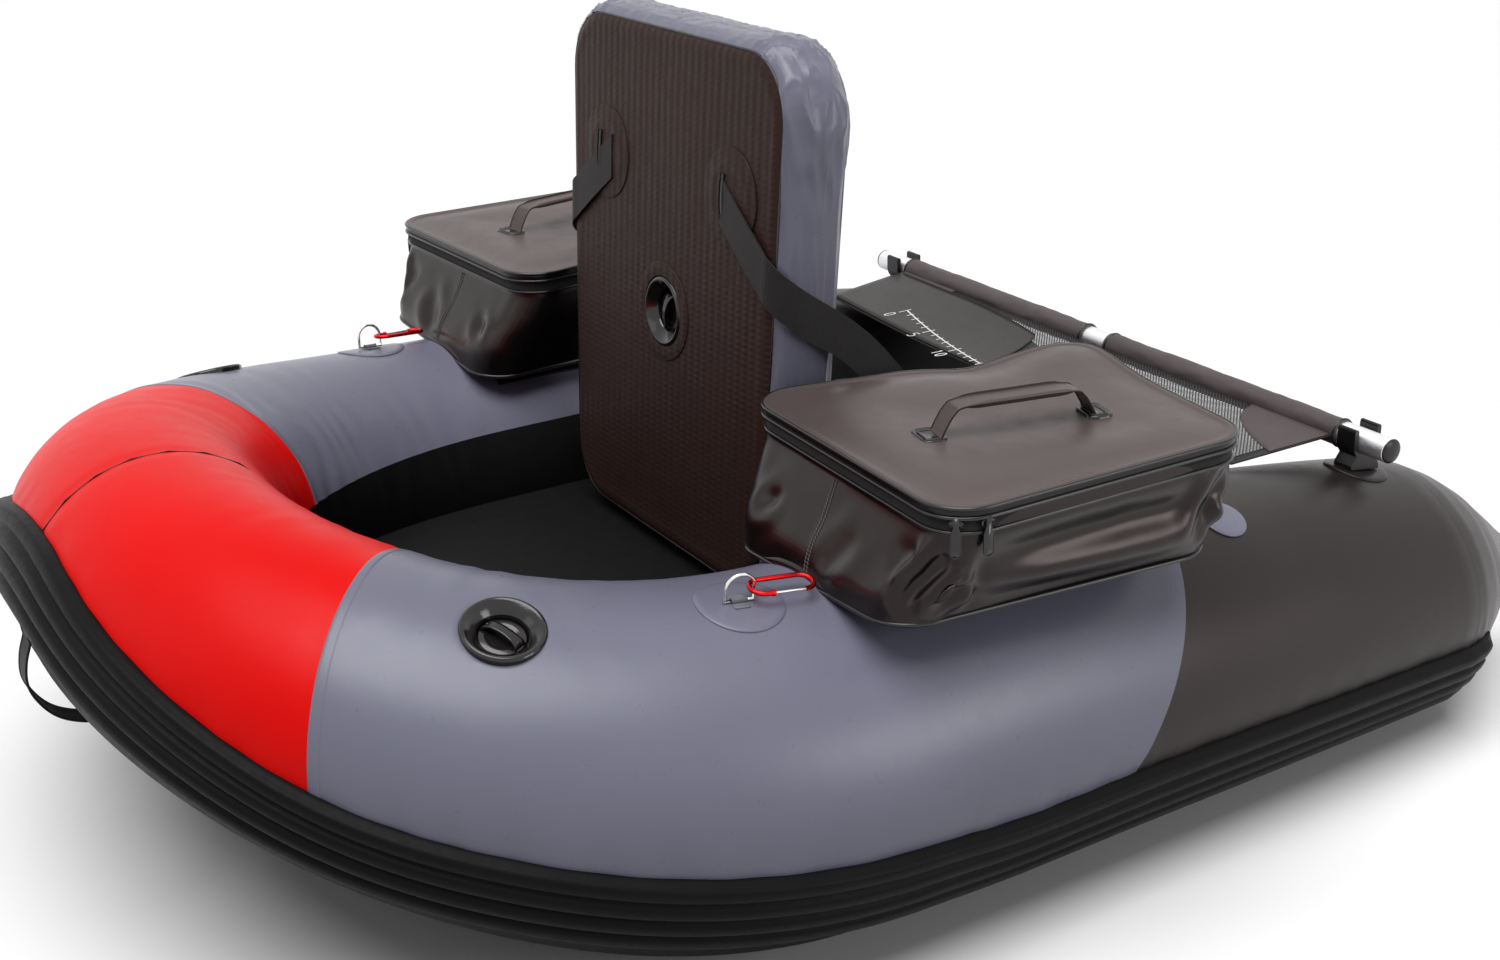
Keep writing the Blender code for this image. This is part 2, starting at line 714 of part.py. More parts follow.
# Bow handle
BOW_HANDLE_WIDTH = 0.028
WEBBING = 0.0025
BOW_HANDLE_STAND = 0.022
BOW_HANDLE_SHARES = (
    (2, 0), (-3, 0), (-8, 0), (-15, 0.45), (-23, 0.88), (-31, 1), (-39, 0.95), (-47, 0.66),
    (-54, 0.28), (-60, 0), (-66, 0), (-72, 0),
)


def bow_handle():
    """Webbing loop under the strake, its ends flat on the tube."""
    path = []
    normals = []
    for degrees, stand_share in BOW_HANDLE_SHARES:
        angle = math.radians(degrees)
        lift = FABRIC_GAP + WEBBING / 2 + BOW_HANDLE_STAND * stand_share
        path.append(on_tube(0, angle, lift))
        normals.append(outward(0, angle))
    band("bow_handle", path, normals, BOW_HANDLE_WIDTH, WEBBING, BLACK, 0.7)


# Patches glued on the tube
def patch_rings(station, angle, outline, lifts, shares):
    """Rings on the curved skin for an outline of (across, along) points at some lifts and scales."""
    radius = spine(station)[1]
    ahead = on_tube(station + STATION_STEP_SHARE, angle) - on_tube(station - STATION_STEP_SHARE, angle)
    per_station = ahead.length / (2 * STATION_STEP_SHARE)
    rings = []
    for lift, scale_share in zip(lifts, shares):
        ring = []
        for across, along in outline:
            place = station + along * scale_share / per_station
            ring.append(on_tube(place, angle - across * scale_share / radius, lift))
        rings.append(ring)
    return rings


PATCH_SHARES = (0.5, 1, 1, 0.5)
PATCH_POINTS = 16


def tube_patch(name, station, angle, outline, thickness, colour, roughness):
    """Thin patch that follows the tube's skin."""
    low = FABRIC_GAP
    high = FABRIC_GAP + thickness
    rings = patch_rings(station, angle, outline, (low, low, high, high), PATCH_SHARES)
    mesh = loft(name, rings, on_tube(station, angle, low), on_tube(station, angle, high))
    return smooth(add_object(name, mesh, colour, roughness))


def disc_outline(radius, points=PATCH_POINTS):
    turns = [math.tau * k / points for k in range(points)]
    return [(radius * math.cos(turn), radius * math.sin(turn)) for turn in turns]


RING_STATION_SHARE = 0.888
RING_ANGLE = math.radians(81)
RING_PATCH_RADIUS = 0.040
PATCH_THICKNESS = 0.0012
ANCHOR_RADIUS = 0.026
ANCHOR_Y = 0.422
ANCHOR_ANGLE = math.radians(68)


def glued_patches():
    ring_patch = disc_outline(RING_PATCH_RADIUS)
    place = RING_STATION_SHARE
    both_sides(tube_patch("ring_patch_right", place, RING_ANGLE, ring_patch, PATCH_THICKNESS, GREY, 0.3))
    anchor = disc_outline(ANCHOR_RADIUS)
    place = station_at(ANCHOR_Y)
    both_sides(tube_patch("anchor_patch_right", place, ANCHOR_ANGLE, anchor, PATCH_THICKNESS, GREY, 0.4))


# Wire pieces
WIRE_RESOLUTION = 2


def wire(name, path, radius, colour, roughness, metallic, frame=None, closed=False):
    """Round wire along a path, with filled ends."""
    curve = bpy.data.curves.new(name, "CURVE")
    curve.dimensions = "3D"
    curve.bevel_depth = radius
    curve.bevel_resolution = WIRE_RESOLUTION
    curve.use_fill_caps = True
    spline = curve.splines.new("POLY")
    spline.points.add(len(path) - 1)
    for point, place in zip(spline.points, path):
        point.co = (*place, 1)
    spline.use_cyclic_u = closed
    return add_object(name, curve, colour, roughness, metallic, frame)


def arc_points(centre, radius, first, last, steps):
    """Points of an arc in a plane, as (across, along) pairs."""
    points = []
    for turn in spread(first, last, steps):
        points.append((centre[0] + radius * math.cos(turn), centre[1] + radius * math.sin(turn)))
    return points


# Tie ring: a D of steel wire, its bar under a keeper on the patch
RING_WIRE = 0.0016          # radius of the wire
RING_HALF = 0.0140
RING_LEG = 0.012
KEEPER_WEBBING = 0.0012
KEEPER_WIDTH = 0.015
KEEPER_FOOT = 0.008
RING_BAR_LIFT = FABRIC_GAP + PATCH_THICKNESS + 2 * GAP + RING_WIRE
RING_FRAME = tube_frame(RING_STATION_SHARE, RING_ANGLE, RING_BAR_LIFT)

# Carabiner: a hooked spine and a wire gate that closes it
CARABINER_WIRE = 0.0023
GATE_WIRE = 0.0012
CARABINER_HALF = 0.0115
CARABINER_LENGTH = 0.060
CARABINER_LIFT = 0.0105     # over the ring's bar
GATE_MOUTH = 0.0075         # from the straight's start at the hook end to the gate's hinge
GATE_RANGE = math.radians(14)
CARABINER_BEND_STEPS = 6


def tie_ring():
    """Standing D ring; its local Y is the bar it swings about."""
    crown = arc_points((0, RING_LEG), RING_HALF, 0, math.pi, 8)
    outline = [(RING_HALF, 0)] + crown + [(-RING_HALF, 0)]
    path = [(0, along, rise) for along, rise in outline]
    return wire("tie_ring_right", path, RING_WIRE, STEEL, 0.25, 1.0, RING_FRAME, closed=True)


def ring_keeper():
    """Webbing loop over the ring's bar, its feet on the patch."""
    inner = RING_WIRE + GAP
    middle = inner + KEEPER_WEBBING / 2
    foot_level = -RING_WIRE - GAP + KEEPER_WEBBING / 2
    drop = 1 - math.cos((middle + KEEPER_FOOT) / SIDE_RADIUS)
    path = []
    normals = []
    start = math.asin(foot_level / middle)
    for across, lean in ((-middle - KEEPER_FOOT, 0.0), (-middle - KEEPER_FOOT / 3, 0.0)):
        path.append(Vector((across, 0, foot_level - drop * lean)))
        normals.append(UP)
    for turn in spread(math.pi - start, start, 6):
        path.append(Vector((middle * math.cos(turn), 0, middle * math.sin(turn))))
        normals.append(Vector((math.cos(turn), 0, math.sin(turn))))
    path += [Vector((-p.x, 0, p.z)) for p in (path[1], path[0])]
    normals += [UP, UP]
    return band("ring_keeper_right", path, normals, KEEPER_WIDTH, KEEPER_WEBBING, GREY, 0.5, RING_FRAME)


def carabiner_points():
    """Outline of the carabiner in its own plane, from the hook's mouth round to the gate's hinge."""
    near = CARABINER_HALF
    far = CARABINER_LENGTH - CARABINER_HALF
    hook = arc_points((0, near), CARABINER_HALF, 0, -math.pi, CARABINER_BEND_STEPS)
    heel = arc_points((0, far), CARABINER_HALF, math.pi, 0, CARABINER_BEND_STEPS)
    return [(CARABINER_HALF, near + GATE_MOUTH)] + hook + heel


CARABINER_REACH = RING_WIRE + CARABINER_WIRE + GAP
CARABINER_FRAME = RING_FRAME @ Matrix.Translation((0, RING_HALF, CARABINER_LIFT))
GATE_TIP = CARABINER_LENGTH - CARABINER_HALF - GAP - GATE_WIRE * math.sin(GATE_RANGE)
GATE_START = CARABINER_HALF + GATE_MOUTH + GAP + GATE_WIRE * math.sin(GATE_RANGE)
GATE_FRAME = CARABINER_FRAME @ Matrix.Translation((CARABINER_HALF, GATE_START - CARABINER_REACH, 0))


def carabiner():
    """Open spine; its local origin is on the ring's leg, which it swings about."""
    path = [(across, along - CARABINER_REACH, 0) for across, along in carabiner_points()]
    return wire("carabiner_right", path, CARABINER_WIRE, RED, 0.25, 0.6, CARABINER_FRAME)


def carabiner_gate():
    """Sprung wire gate; its local Z is the pivot."""
    path = [(0, along, 0) for along in spread(0, GATE_TIP - GATE_START, 2)]
    return wire("carabiner_gate_right", path, GATE_WIRE, STEEL, 0.25, 1.0, GATE_FRAME)


# Side bags on the tubes
TUBE_CREST = SIDE_RADIUS * (1 + FLAT)
BAG_DROP_OUTBOARD = 0.0015   # the underside's edges hang below the tube's crest
BAG_DROP_INBOARD = 0.0185
BAG_CORNERS = ((0.238, 0.012), (0.583, -0.006), (0.586, 0.329), (0.311, 0.364))
BAG_FOOT_CORNERS = ((0.276, -0.030), (0.547, -0.034), (0.577, 0.302), (0.305, 0.347))
BAG_CORNER_RADIUS = 0.043
BAG_RIM_INSET = 0.004
BAG_BULGE = 0.005
BAG_RISE = 0.1025           # the lid's seam over the tube's crest
BAG_SEAM_HEIGHT = TUBE_CREST + BAG_RISE
BAG_HEM = 0.018             # upright hem under the lid
BAG_LOW_OUTBOARD = TUBE_CREST - BAG_DROP_OUTBOARD
BAG_LOW_INBOARD = TUBE_CREST - BAG_DROP_INBOARD
BAG_WALL = 0.0022
BAG_BLEND_SHARES = (0.3, 0.75)
LID_HEIGHT = 0.012
LID_SAG = 0.005
PIPING = 0.0022
PIPING_SHARES = (
    (6, 0), (0.5, 0), (0, 0.5), (0, 1.5), (1, 2.2), (1, 3), (0, 3.7), (0, 4.7), (1, 5.4), (3, 5.1),
)
LID_CROWN_SHARE = 0.9
LID_SAG_SHARE = 0.6
BASE_THICKNESS = 0.004
BASE_FIRST_DEGREES = 60
BASE_LAST_DEGREES = 125
BASE_STEP_DEGREES = 4.15
BASE_FRONT_Y = 0.0
BASE_BACK_Y = 0.350


def tube_top(x, y, lift):
    """Height of the straight tube's skin above a point of the plan."""
    centre, radius = spine(max(station_at(y), 1))
    reach = radius + lift
    aside = min(abs(x - centre.x), reach)
    return centre.z + math.sqrt(reach * reach - aside * aside)


def bag_base():
    """Curved pad between the tube and the bag; its ends are strips, because a fan would cross the tube."""
    steps = round((BASE_LAST_DEGREES - BASE_FIRST_DEGREES) / BASE_STEP_DEGREES)
    angles = [math.radians(a) for a in spread(BASE_FIRST_DEGREES, BASE_LAST_DEGREES, steps)]
    rings = []
    for station in spread(station_at(BASE_FRONT_Y), station_at(BASE_BACK_Y), 6):
        ring = [on_tube(station, angle, FABRIC_GAP) for angle in angles]
        ring += [on_tube(station, angle, FABRIC_GAP + BASE_THICKNESS) for angle in reversed(angles)]
        rings.append(ring)
    count = len(rings[0])
    points = [p for ring in rings for p in ring]
    faces = skin_faces(len(rings), count)
    for start in (0, (len(rings) - 1) * count):
        for k in range(count // 2 - 1):
            faces.append((start + k, start + k + 1, start + count - 2 - k, start + count - 1 - k))
    return smooth(add_object("bag_base_right", mesh_of("bag_base_right", points, faces), BLACK, 0.35))


def bag_level(corners, inset, height):
    return [Vector((*p, height)) for p in rounded_outline(corners, BAG_CORNER_RADIUS, inset)]


def blend_corners(share):
    """Corners between the rim and the foot of the bag."""
    pairs = zip(BAG_CORNERS, BAG_FOOT_CORNERS)
    return [Vector(rim).lerp(Vector(foot), share) for rim, foot in pairs]


SADDLE_SIDES = 48


def saddle_cutter():
    """The tube and the bag's base, a little larger, to shape the underside of the bag."""
    rings = []
    lift = BASE_THICKNESS + 2 * FABRIC_GAP
    first = station_at(BASE_FRONT_Y) - 3 * OVERRUN / SIDE_LENGTH
    for station in spread(first, station_at(BASE_BACK_Y + OVERRUN), 9):
        turns = [(k + 0.5) * math.tau / SADDLE_SIDES for k in range(SADDLE_SIDES)]
        rings.append([on_tube(station, turn, lift) for turn in turns])
    return as_cutter(add_object("bag_saddle", loft("bag_saddle", rings), BLACK))


def bag_wall(inset):
    """Rings of the bag's side from the seam down; the underside hangs lower inboard."""
    hem = BAG_SEAM_HEIGHT - BAG_HEM
    middle = (BAG_LOW_INBOARD + BAG_LOW_OUTBOARD) / 2
    upper_share, lower_share = BAG_BLEND_SHARES
    rings = [
        bag_level(BAG_CORNERS, BAG_RIM_INSET + inset, BAG_SEAM_HEIGHT),
        bag_level(BAG_CORNERS, BAG_RIM_INSET + inset, hem),
        bag_level(blend_corners(upper_share), BAG_RIM_INSET - BAG_BULGE + inset, (2 * hem + middle) / 3),
        bag_level(blend_corners(lower_share), inset - BAG_BULGE, (hem + 2 * middle) / 3),
    ]
    in_x = BAG_FOOT_CORNERS[0][0]
    out_x = BAG_FOOT_CORNERS[1][0]
    foot = []
    for x, y in rounded_outline(BAG_FOOT_CORNERS, BAG_CORNER_RADIUS, inset):
        out_share = min(max((x - in_x) / (out_x - in_x), 0), 1)
        foot.append(Vector((x, y, BAG_LOW_INBOARD + (BAG_LOW_OUTBOARD - BAG_LOW_INBOARD) * out_share)))
    rings.append(foot)
    return rings


def bag_body():
    """Open-topped bag whose underside is shaped by the tube it sits on."""
    outer = loft("bag_body_right", bag_wall(0))
    bag = smooth(add_object("bag_body_right", outer, BAG_BLACK, 0.3))
    rings = bag_wall(BAG_WALL)[:-1]
    mouth = [p + UP * OVERRUN for p in rings[0]]
    hollow = as_cutter(add_object("bag_hollow", loft("bag_hollow", [mouth] + rings), BLACK))
    cut(bag, hollow)
    cut(bag, saddle_cutter())
    return bag


LID_HINGE = (Vector(BAG_CORNERS[0]) + Vector(BAG_CORNERS[3])).to_3d() / 2 + UP * BAG_SEAM_HEIGHT
LID_RUN = (Vector(BAG_CORNERS[3]) - Vector(BAG_CORNERS[0])).normalized()
LID_FRAME = Matrix.Translation(LID_HINGE) @ Matrix.Rotation(math.atan2(-LID_RUN.x, LID_RUN.y), 4, "Z")


def bag_lid():
    """Flat lid with two rows of piping round its edge; its local Y is the hinge line."""
    base = BAG_SEAM_HEIGHT + GAP
    rings = []
    for inset_share, rise_share in PIPING_SHARES:
        rings.append(bag_level(BAG_CORNERS, PIPING * inset_share, base + PIPING * rise_share))
    top = base + LID_HEIGHT
    rings.append(bag_level(BAG_CORNERS, BAG_CORNER_RADIUS * LID_CROWN_SHARE, top - LID_SAG * LID_SAG_SHARE))
    hub = centre_of(rings[-1])
    hub.z = top - LID_SAG
    mesh = loft("bag_lid_right", rings, last_hub=hub)
    mesh.transform(LID_FRAME.inverted())
    return smooth(add_object("bag_lid_right", mesh, BAG_BLACK, 0.3, frame=LID_FRAME))


HANDLE_FIRST = (0.434, 0.094)
HANDLE_LAST = (0.466, 0.243)
HANDLE_RISE = 0.032
HANDLE_FOOT = 0.020
HANDLE_SHOULDER = 0.018
HANDLE_WIDTH = 0.026
HANDLE_WEBBING = 0.003
HANDLE_GRIP = 0.007


def lid_handle():
    """Carry strap on the lid, thicker at the grip."""
    first = Vector(HANDLE_FIRST)
    last = Vector(HANDLE_LAST)
    run = last - first
    path, normals = arch_path(run.length / 2, HANDLE_FOOT, HANDLE_RISE, HANDLE_SHOULDER)
    lift = GAP + HANDLE_WEBBING / 2
    path = [p + UP * lift for p in path]
    depths = [HANDLE_WEBBING] * len(path)
    middle = len(path) // 2
    grip_path = spread(-run.length / 2 + 2 * HANDLE_SHOULDER, run.length / 2 - 2 * HANDLE_SHOULDER, 3)
    grip = [Vector((0, y, path[middle].z)) for y in grip_path]
    path = path[:middle] + grip + path[middle:]
    normals = normals[:middle] + [UP] * len(grip) + normals[middle:]
    depths = depths[:middle] + [HANDLE_GRIP] * len(grip) + depths[middle:]
    centre = (first + last) / 2
    level = BAG_SEAM_HEIGHT + GAP + LID_HEIGHT - LID_SAG * LID_SAG_SHARE
    frame = Matrix.Translation((*centre, level)) @ Matrix.Rotation(math.atan2(-run.x, run.y), 4, "Z")
    return band("lid_handle_right", path, normals, HANDLE_WIDTH, depths, BLACK, 0.35, frame)


PULLER_DEGREES = (42, 6)     # round the lid's bow corner, from the side
PULLER_LENGTH = 0.030
PULLER_HALF_WIDTH = 0.0048
PULLER_HALF_THICKNESS = 0.0009


def zip_puller(word, degrees):
    """Tab of a zip slider, hanging from its pivot beside the lid's seam."""
    round_end = arc_points((0, -PULLER_LENGTH), PULLER_HALF_WIDTH, math.pi, math.tau, 5)
    neck = PULLER_HALF_WIDTH / 2
    top = PULLER_HALF_THICKNESS
    outline = [(neck, top), (-neck, top)]
    outline += [(-neck, -PULLER_LENGTH / 4), (-PULLER_HALF_WIDTH, -PULLER_LENGTH / 2)] + round_end
    outline += [(PULLER_HALF_WIDTH, -PULLER_LENGTH / 2), (neck, -PULLER_LENGTH / 4)]
    corner = inset_corners(BAG_CORNERS, BAG_CORNER_RADIUS)[1]
    reach = BAG_CORNER_RADIUS + 2 * GAP + PULLER_HALF_THICKNESS
    turn = math.radians(degrees)
    place = (corner.x + reach * math.cos(turn), corner.y - reach * math.sin(turn), BAG_SEAM_HEIGHT + PIPING)
    frame = Matrix.Translation(place) @ Matrix.Rotation(-math.pi / 2 - turn, 4, "Z")
    return flat_shape(f"zip_puller_right_{word}", outline, PULLER_HALF_THICKNESS, STEEL, 0.3, 1.0, frame)


# Backrest straps
SLOT_PATCH_X = 0.135
SLOT_PATCH_HEIGHT = 0.622
SLOT_PATCH_HALF_WIDTH = 0.056
SLOT_PATCH_HALF_HEIGHT = 0.042
SLOT_PATCH_CORNER = 0.008
SLOT_PATCH_THICKNESS = 0.0015
STRAP_WIDTH = 0.038
STRAP_THICKNESS = 0.0018
STRAP_START_X = 0.112
STRAP_START_HEIGHT = 0.616
STRAP_SLOPE = math.radians(36)
STRAP_WRAP_STEPS = 4
STRAP_EDGE_CLEARANCE = 0.0015
STRAP_RUN_POINTS = ((0.2320, 0.150, 0.475), (0.2440, 0.205, 0.405), (0.2525, 0.255, 0.335))
STRAP_ANCHOR_Y = 0.305
STRAP_ANCHOR_DEGREES = (150, 156, 162)
STRAP_FOOT_NORMAL = (1, 0, -0.25)


def slot_patch():
    """Welded patch on the backrest that the strap comes out of."""
    half_w = SLOT_PATCH_HALF_WIDTH
    half_h = SLOT_PATCH_HALF_HEIGHT
    corners = ((-half_w, -half_h), (half_w, -half_h), (half_w, half_h), (-half_w, half_h))
    outline = rounded_outline(corners, SLOT_PATCH_CORNER)
    rings = [[Vector((*p, level)) for p in outline] for level in (GAP, GAP + SLOT_PATCH_THICKNESS)]
    frame = backrest_frame(SLOT_PATCH_X, SLOT_PATCH_HEIGHT, 0)
    return add_object("slot_patch_right", loft("slot_patch_right", rings), BLACK, 0.5, frame=frame)


def strap_station(place, side, normal):
    half = STRAP_THICKNESS / 2 * normal.normalized()
    return [place + side + half, place - side + half, place - side - half, place + side - half]


def backrest_strap():
    """Strap from the slot across the rear face, round the rounded edge and down to the tube."""
    proud = SLOT_PATCH_THICKNESS + 2 * GAP + STRAP_THICKNESS / 2
    face = backrest_frame(0, STRAP_START_HEIGHT, 0)
    upright = Vector((0, STRAP_WIDTH / 2 / math.cos(STRAP_SLOPE), 0))
    up_share = (STRAP_START_HEIGHT - BACKREST_FOOT) / (BACKREST_TOP - BACKREST_FOOT)
    edge_x = BACKREST_FOOT_HALF + (BACKREST_TOP_HALF - BACKREST_FOOT_HALF) * up_share - SLAB_EDGE_RADIUS
    fall = math.tan(STRAP_SLOPE)
    rings = []
    for x in spread(STRAP_START_X, edge_x, 3):
        place = Vector((x, (STRAP_START_X - x) * fall, proud))
        rings.append([face @ p for p in strap_station(place, upright, UP)])
    bend = SLAB_EDGE_RADIUS + proud + STRAP_EDGE_CLEARANCE / 2
    for turn in spread(0, math.pi / 2, STRAP_WRAP_STEPS)[1:]:
        x = edge_x + bend * math.sin(turn)
        drop = (edge_x - STRAP_START_X + bend * turn) * fall
        place = Vector((x, -drop, bend * math.cos(turn) - SLAB_EDGE_RADIUS))
        normal = Vector((math.sin(turn), 0, math.cos(turn)))
        rings.append([face @ p for p in strap_station(place, upright, normal)])
    path = [Vector(p) for p in STRAP_RUN_POINTS]
    lift = FABRIC_GAP + STRAP_THICKNESS / 2
    normals = [Vector((1, 0, 0))] * (len(path) - 1) + [Vector(STRAP_FOOT_NORMAL)]
    for k, degrees in enumerate(STRAP_ANCHOR_DEGREES):
        angle = math.radians(degrees)
        y = STRAP_ANCHOR_Y + k * STRAP_WIDTH / 3
        path.append(on_tube(station_at(y), angle, lift))
        normals.append(-outward(station_at(y), angle))
    for k, (place, normal) in enumerate(zip(path, normals)):
        before = path[k - 1] if k else centre_of(rings[-1])
        run = (path[min(k + 1, len(path) - 1)] - before).normalized()
        normal = (normal - run * normal.dot(run)).normalized()
        rings.append(strap_station(place, normal.cross(run) * STRAP_WIDTH / 2, normal))
    mesh = in_triangles(loft("backrest_strap_right", rings))
    return smooth(add_object("backrest_strap_right", mesh, BLACK, 0.7))


# Stripping bar with its clips and apron
BAR_FROM_TAIL = 0.053        # forward of the end of the straight side
BAR_STAND = 0.03324          # its middle over the tube's crest there
BAR_Y = SIDE_LENGTH - BAR_FROM_TAIL
BAR_HEIGHT = spine(station_at(BAR_Y))[0].z + spine(station_at(BAR_Y))[1] + BAR_STAND
BAR_RADIUS = 0.0135
BAR_WALL = 0.0015
BAR_CAP = 0.005
BAR_PLUG = 0.018
DOME_SHARES = ((0, 1), (0.7, 0.85), (1, 0.33))
CLIP_OFF_CREST = 0.007        # outboard of the tube's centre line
CLIP_X = HALF_TRACK + CLIP_OFF_CREST
BAR_OVERHANG = 0.043          # bar end beyond the middle of its clip
BAR_HALF = CLIP_X + BAR_OVERHANG
CLIP_HALF_WIDTH = 0.012
CLIP_WALL = 0.006
CLIP_JAW_RISE = 0.014
CLIP_FOOT_HALF = 0.021
CLIP_FOOT_HEIGHT = 0.004
CLIP_BASE_RADIUS = 0.034
SLEEVE_CLOTH = 0.0014
SLEEVE_INNER_END = 0.020
SLEEVE_OUTER_END = 0.392
APRON_DEPTH = 0.146
APRON_FRONT_Y = BAR_Y - APRON_DEPTH
APRON_FRONT_HALF = 0.372
APRON_REAR_HALF = 0.388
APRON_SAG = 0.014
APRON_FRONT_HEIGHT = 0.314
APRON_CLOTH = 0.0016
PANEL_CLOTH = 0.0012
PANEL_REACH_SHARE = 0.42
PANEL_BACK_SHARE = 0.94


def along_x(x, y=BAR_Y, height=BAR_HEIGHT):
    """Frame whose Z runs along +X."""
    return Matrix.Translation((x, y, height)) @ Matrix.Rotation(math.pi / 2, 4, "Y")


def cross_bar():
    inner = BAR_RADIUS - BAR_WALL
    profile = [(inner, BAR_HALF), (BAR_RADIUS, BAR_HALF), (BAR_RADIUS, -BAR_HALF), (inner, -BAR_HALF)]
    turned("cross_bar", profile, ALUMINIUM, 0.3, 1.0, along_x(0), closed=True)


def bar_cap():
    """Plug in the bar's end with a domed head."""
    plug = BAR_RADIUS - BAR_WALL - GAP
    head = BAR_HALF + GAP
    profile = [(BAR_RADIUS * across, head + BAR_CAP * up) for across, up in DOME_SHARES]
    profile += [(BAR_RADIUS, head), (plug, head), (plug, BAR_HALF - BAR_PLUG), (0, BAR_HALF - BAR_PLUG)]
    return turned("bar_cap_right", profile, BLACK, 0.4, frame=along_x(0))


def bar_sleeve(word, first, last):
    """Sleeve of the apron round one half of the bar."""
    inner = BAR_RADIUS + GAP
    outer = inner + SLEEVE_CLOTH
    profile = [(inner, last), (outer, last), (outer, first), (inner, first)]
    turned(f"apron_sleeve_{word}", profile, BLACK, 0.4, frame=along_x(0), closed=True)


def clip_floor(y):
    """Height of the base patch under the clip at a place along the tube."""
    centre, radius = spine(station_at(y))
    return centre.z + radius + FABRIC_GAP + PATCH_THICKNESS


def bar_clip():
    """Open-topped snap clip: two jaws round the bar on a foot that follows the tube's fall."""
    inner = BAR_RADIUS + GAP
    outer = inner + CLIP_WALL
    tip = CLIP_WALL / 2
    drop_first = clip_floor(BAR_Y - CLIP_FOOT_HALF) + 2 * GAP - BAR_HEIGHT
    drop_last = clip_floor(BAR_Y + CLIP_FOOT_HALF) + 2 * GAP - BAR_HEIGHT
    outline = [(-CLIP_FOOT_HALF, drop_first), (CLIP_FOOT_HALF, drop_last)]
    outline += [(CLIP_FOOT_HALF, drop_last + CLIP_FOOT_HEIGHT)]
    outline += arc_points((0, 0), outer, -math.pi / 4, 0, 3)
    outline += arc_points((inner + tip, CLIP_JAW_RISE), tip, 0, math.pi, 4)
    outline += arc_points((0, 0), inner, 0, -math.pi, 10)
    outline += arc_points((-inner - tip, CLIP_JAW_RISE), tip, 0, math.pi, 4)
    outline += arc_points((0, 0), outer, math.pi, math.pi * 5 / 4, 3)
    outline += [(-CLIP_FOOT_HALF, drop_first + CLIP_FOOT_HEIGHT)]
    frame = Matrix.Translation((CLIP_X, BAR_Y, BAR_HEIGHT)) @ Matrix.Rotation(math.pi / 2, 4, "Z")
    return flat_shape("bar_clip_right", outline, CLIP_HALF_WIDTH, BLACK, 0.35, frame=frame)


def clip_base():
    outline = disc_outline(CLIP_BASE_RADIUS)
    angle = math.acos((CLIP_X - HALF_TRACK) / spine(station_at(BAR_Y))[1])
    return tube_patch("clip_base_right", station_at(BAR_Y), angle, outline, PATCH_THICKNESS, BLACK, 0.5)


def apron_point(across_share, back_share, lift=0.0):
    """Point of the sagging apron: -1 to 1 across, 0 at the front edge and 1 at the bar."""
    rear_y = BAR_Y - BAR_RADIUS - SLEEVE_CLOTH - 2 * GAP
    rear_height = BAR_HEIGHT - APRON_CLOTH / 2
    half = APRON_FRONT_HALF + (APRON_REAR_HALF - APRON_FRONT_HALF) * back_share
    y = APRON_FRONT_Y + (rear_y - APRON_FRONT_Y) * back_share
    sag = APRON_SAG * (1 - across_share ** 2) * (1 - back_share ** 2)
    level = APRON_FRONT_HEIGHT + (rear_height - APRON_FRONT_HEIGHT) * back_share
    return Vector((half * across_share, y, level - sag + lift))


def sheet(name, across_shares, back_shares, cloth, colour, roughness, lift=0.0):
    """Thin cloth over a patch of the apron's surface, thickened upwards."""
    count = len(across_shares)
    points = [apron_point(a, b, lift) for b in back_shares for a in across_shares]
    mesh = bpy.data.meshes.new(name)
    mesh.from_pydata([tuple(p) for p in points], [], skin_faces(len(back_shares), count, closed=False))
    item = smooth(add_object(name, mesh, colour, roughness))
    solid = item.modifiers.new("cloth", "SOLIDIFY")
    solid.thickness = cloth
    solid.offset = 1
    return item


def apron():
    sheet("apron_mesh", spread(-1, 1, 16), spread(0, 1, 5), APRON_CLOTH, BLACK, 0.6)
    panel_start = -1 + PANEL_CLOTH / APRON_FRONT_HALF
    across = spread(panel_start, -1 + 2 * PANEL_REACH_SHARE, 8)
    back = spread(0, PANEL_BACK_SHARE, 5)
    sheet("apron_panel", across, back, PANEL_CLOTH, BLACK, 0.4, APRON_CLOTH + 2 * GAP)


def build():
    """Every piece, right-hand ones with their twins."""
    bow, side, tail = hull_tubes()
    valve = tube_frame(VALVE_STATION_SHARE, VALVE_ANGLE) @ Matrix.Rotation(VALVE_TURN, 4, "Z")
    tube_valve = air_valve("tube_valve_right", side, valve)
    for item in (bow, side, tail, *tube_valve):
        both_sides(item)
    bow_baffle()
    rubbing_strake()
    floor_panel()
    bow_handle()
    glued_patches()
    seat = seat_cushion()
    seat_valve(seat)
    pad = backrest_pad()
    backrest_valve(pad)
    both_sides(slot_patch())
    both_sides(backrest_strap())
    for piece in (ring_keeper(), tie_ring(), carabiner(), carabiner_gate()):
        both_sides(piece)
    for piece in (bag_base(), bag_body(), bag_lid(), lid_handle()):
        both_sides(piece)
    for word, degrees in zip(("bow", "stern"), PULLER_DEGREES):
        both_sides(zip_puller(word, degrees))
    cross_bar()
    for piece in (bar_cap(), bar_clip(), clip_base()):
        both_sides(piece)
    bar_sleeve("right", SLEEVE_INNER_END, SLEEVE_OUTER_END)
    bar_sleeve("left", -SLEEVE_OUTER_END, -SLEEVE_INNER_END)
    apron()


build()
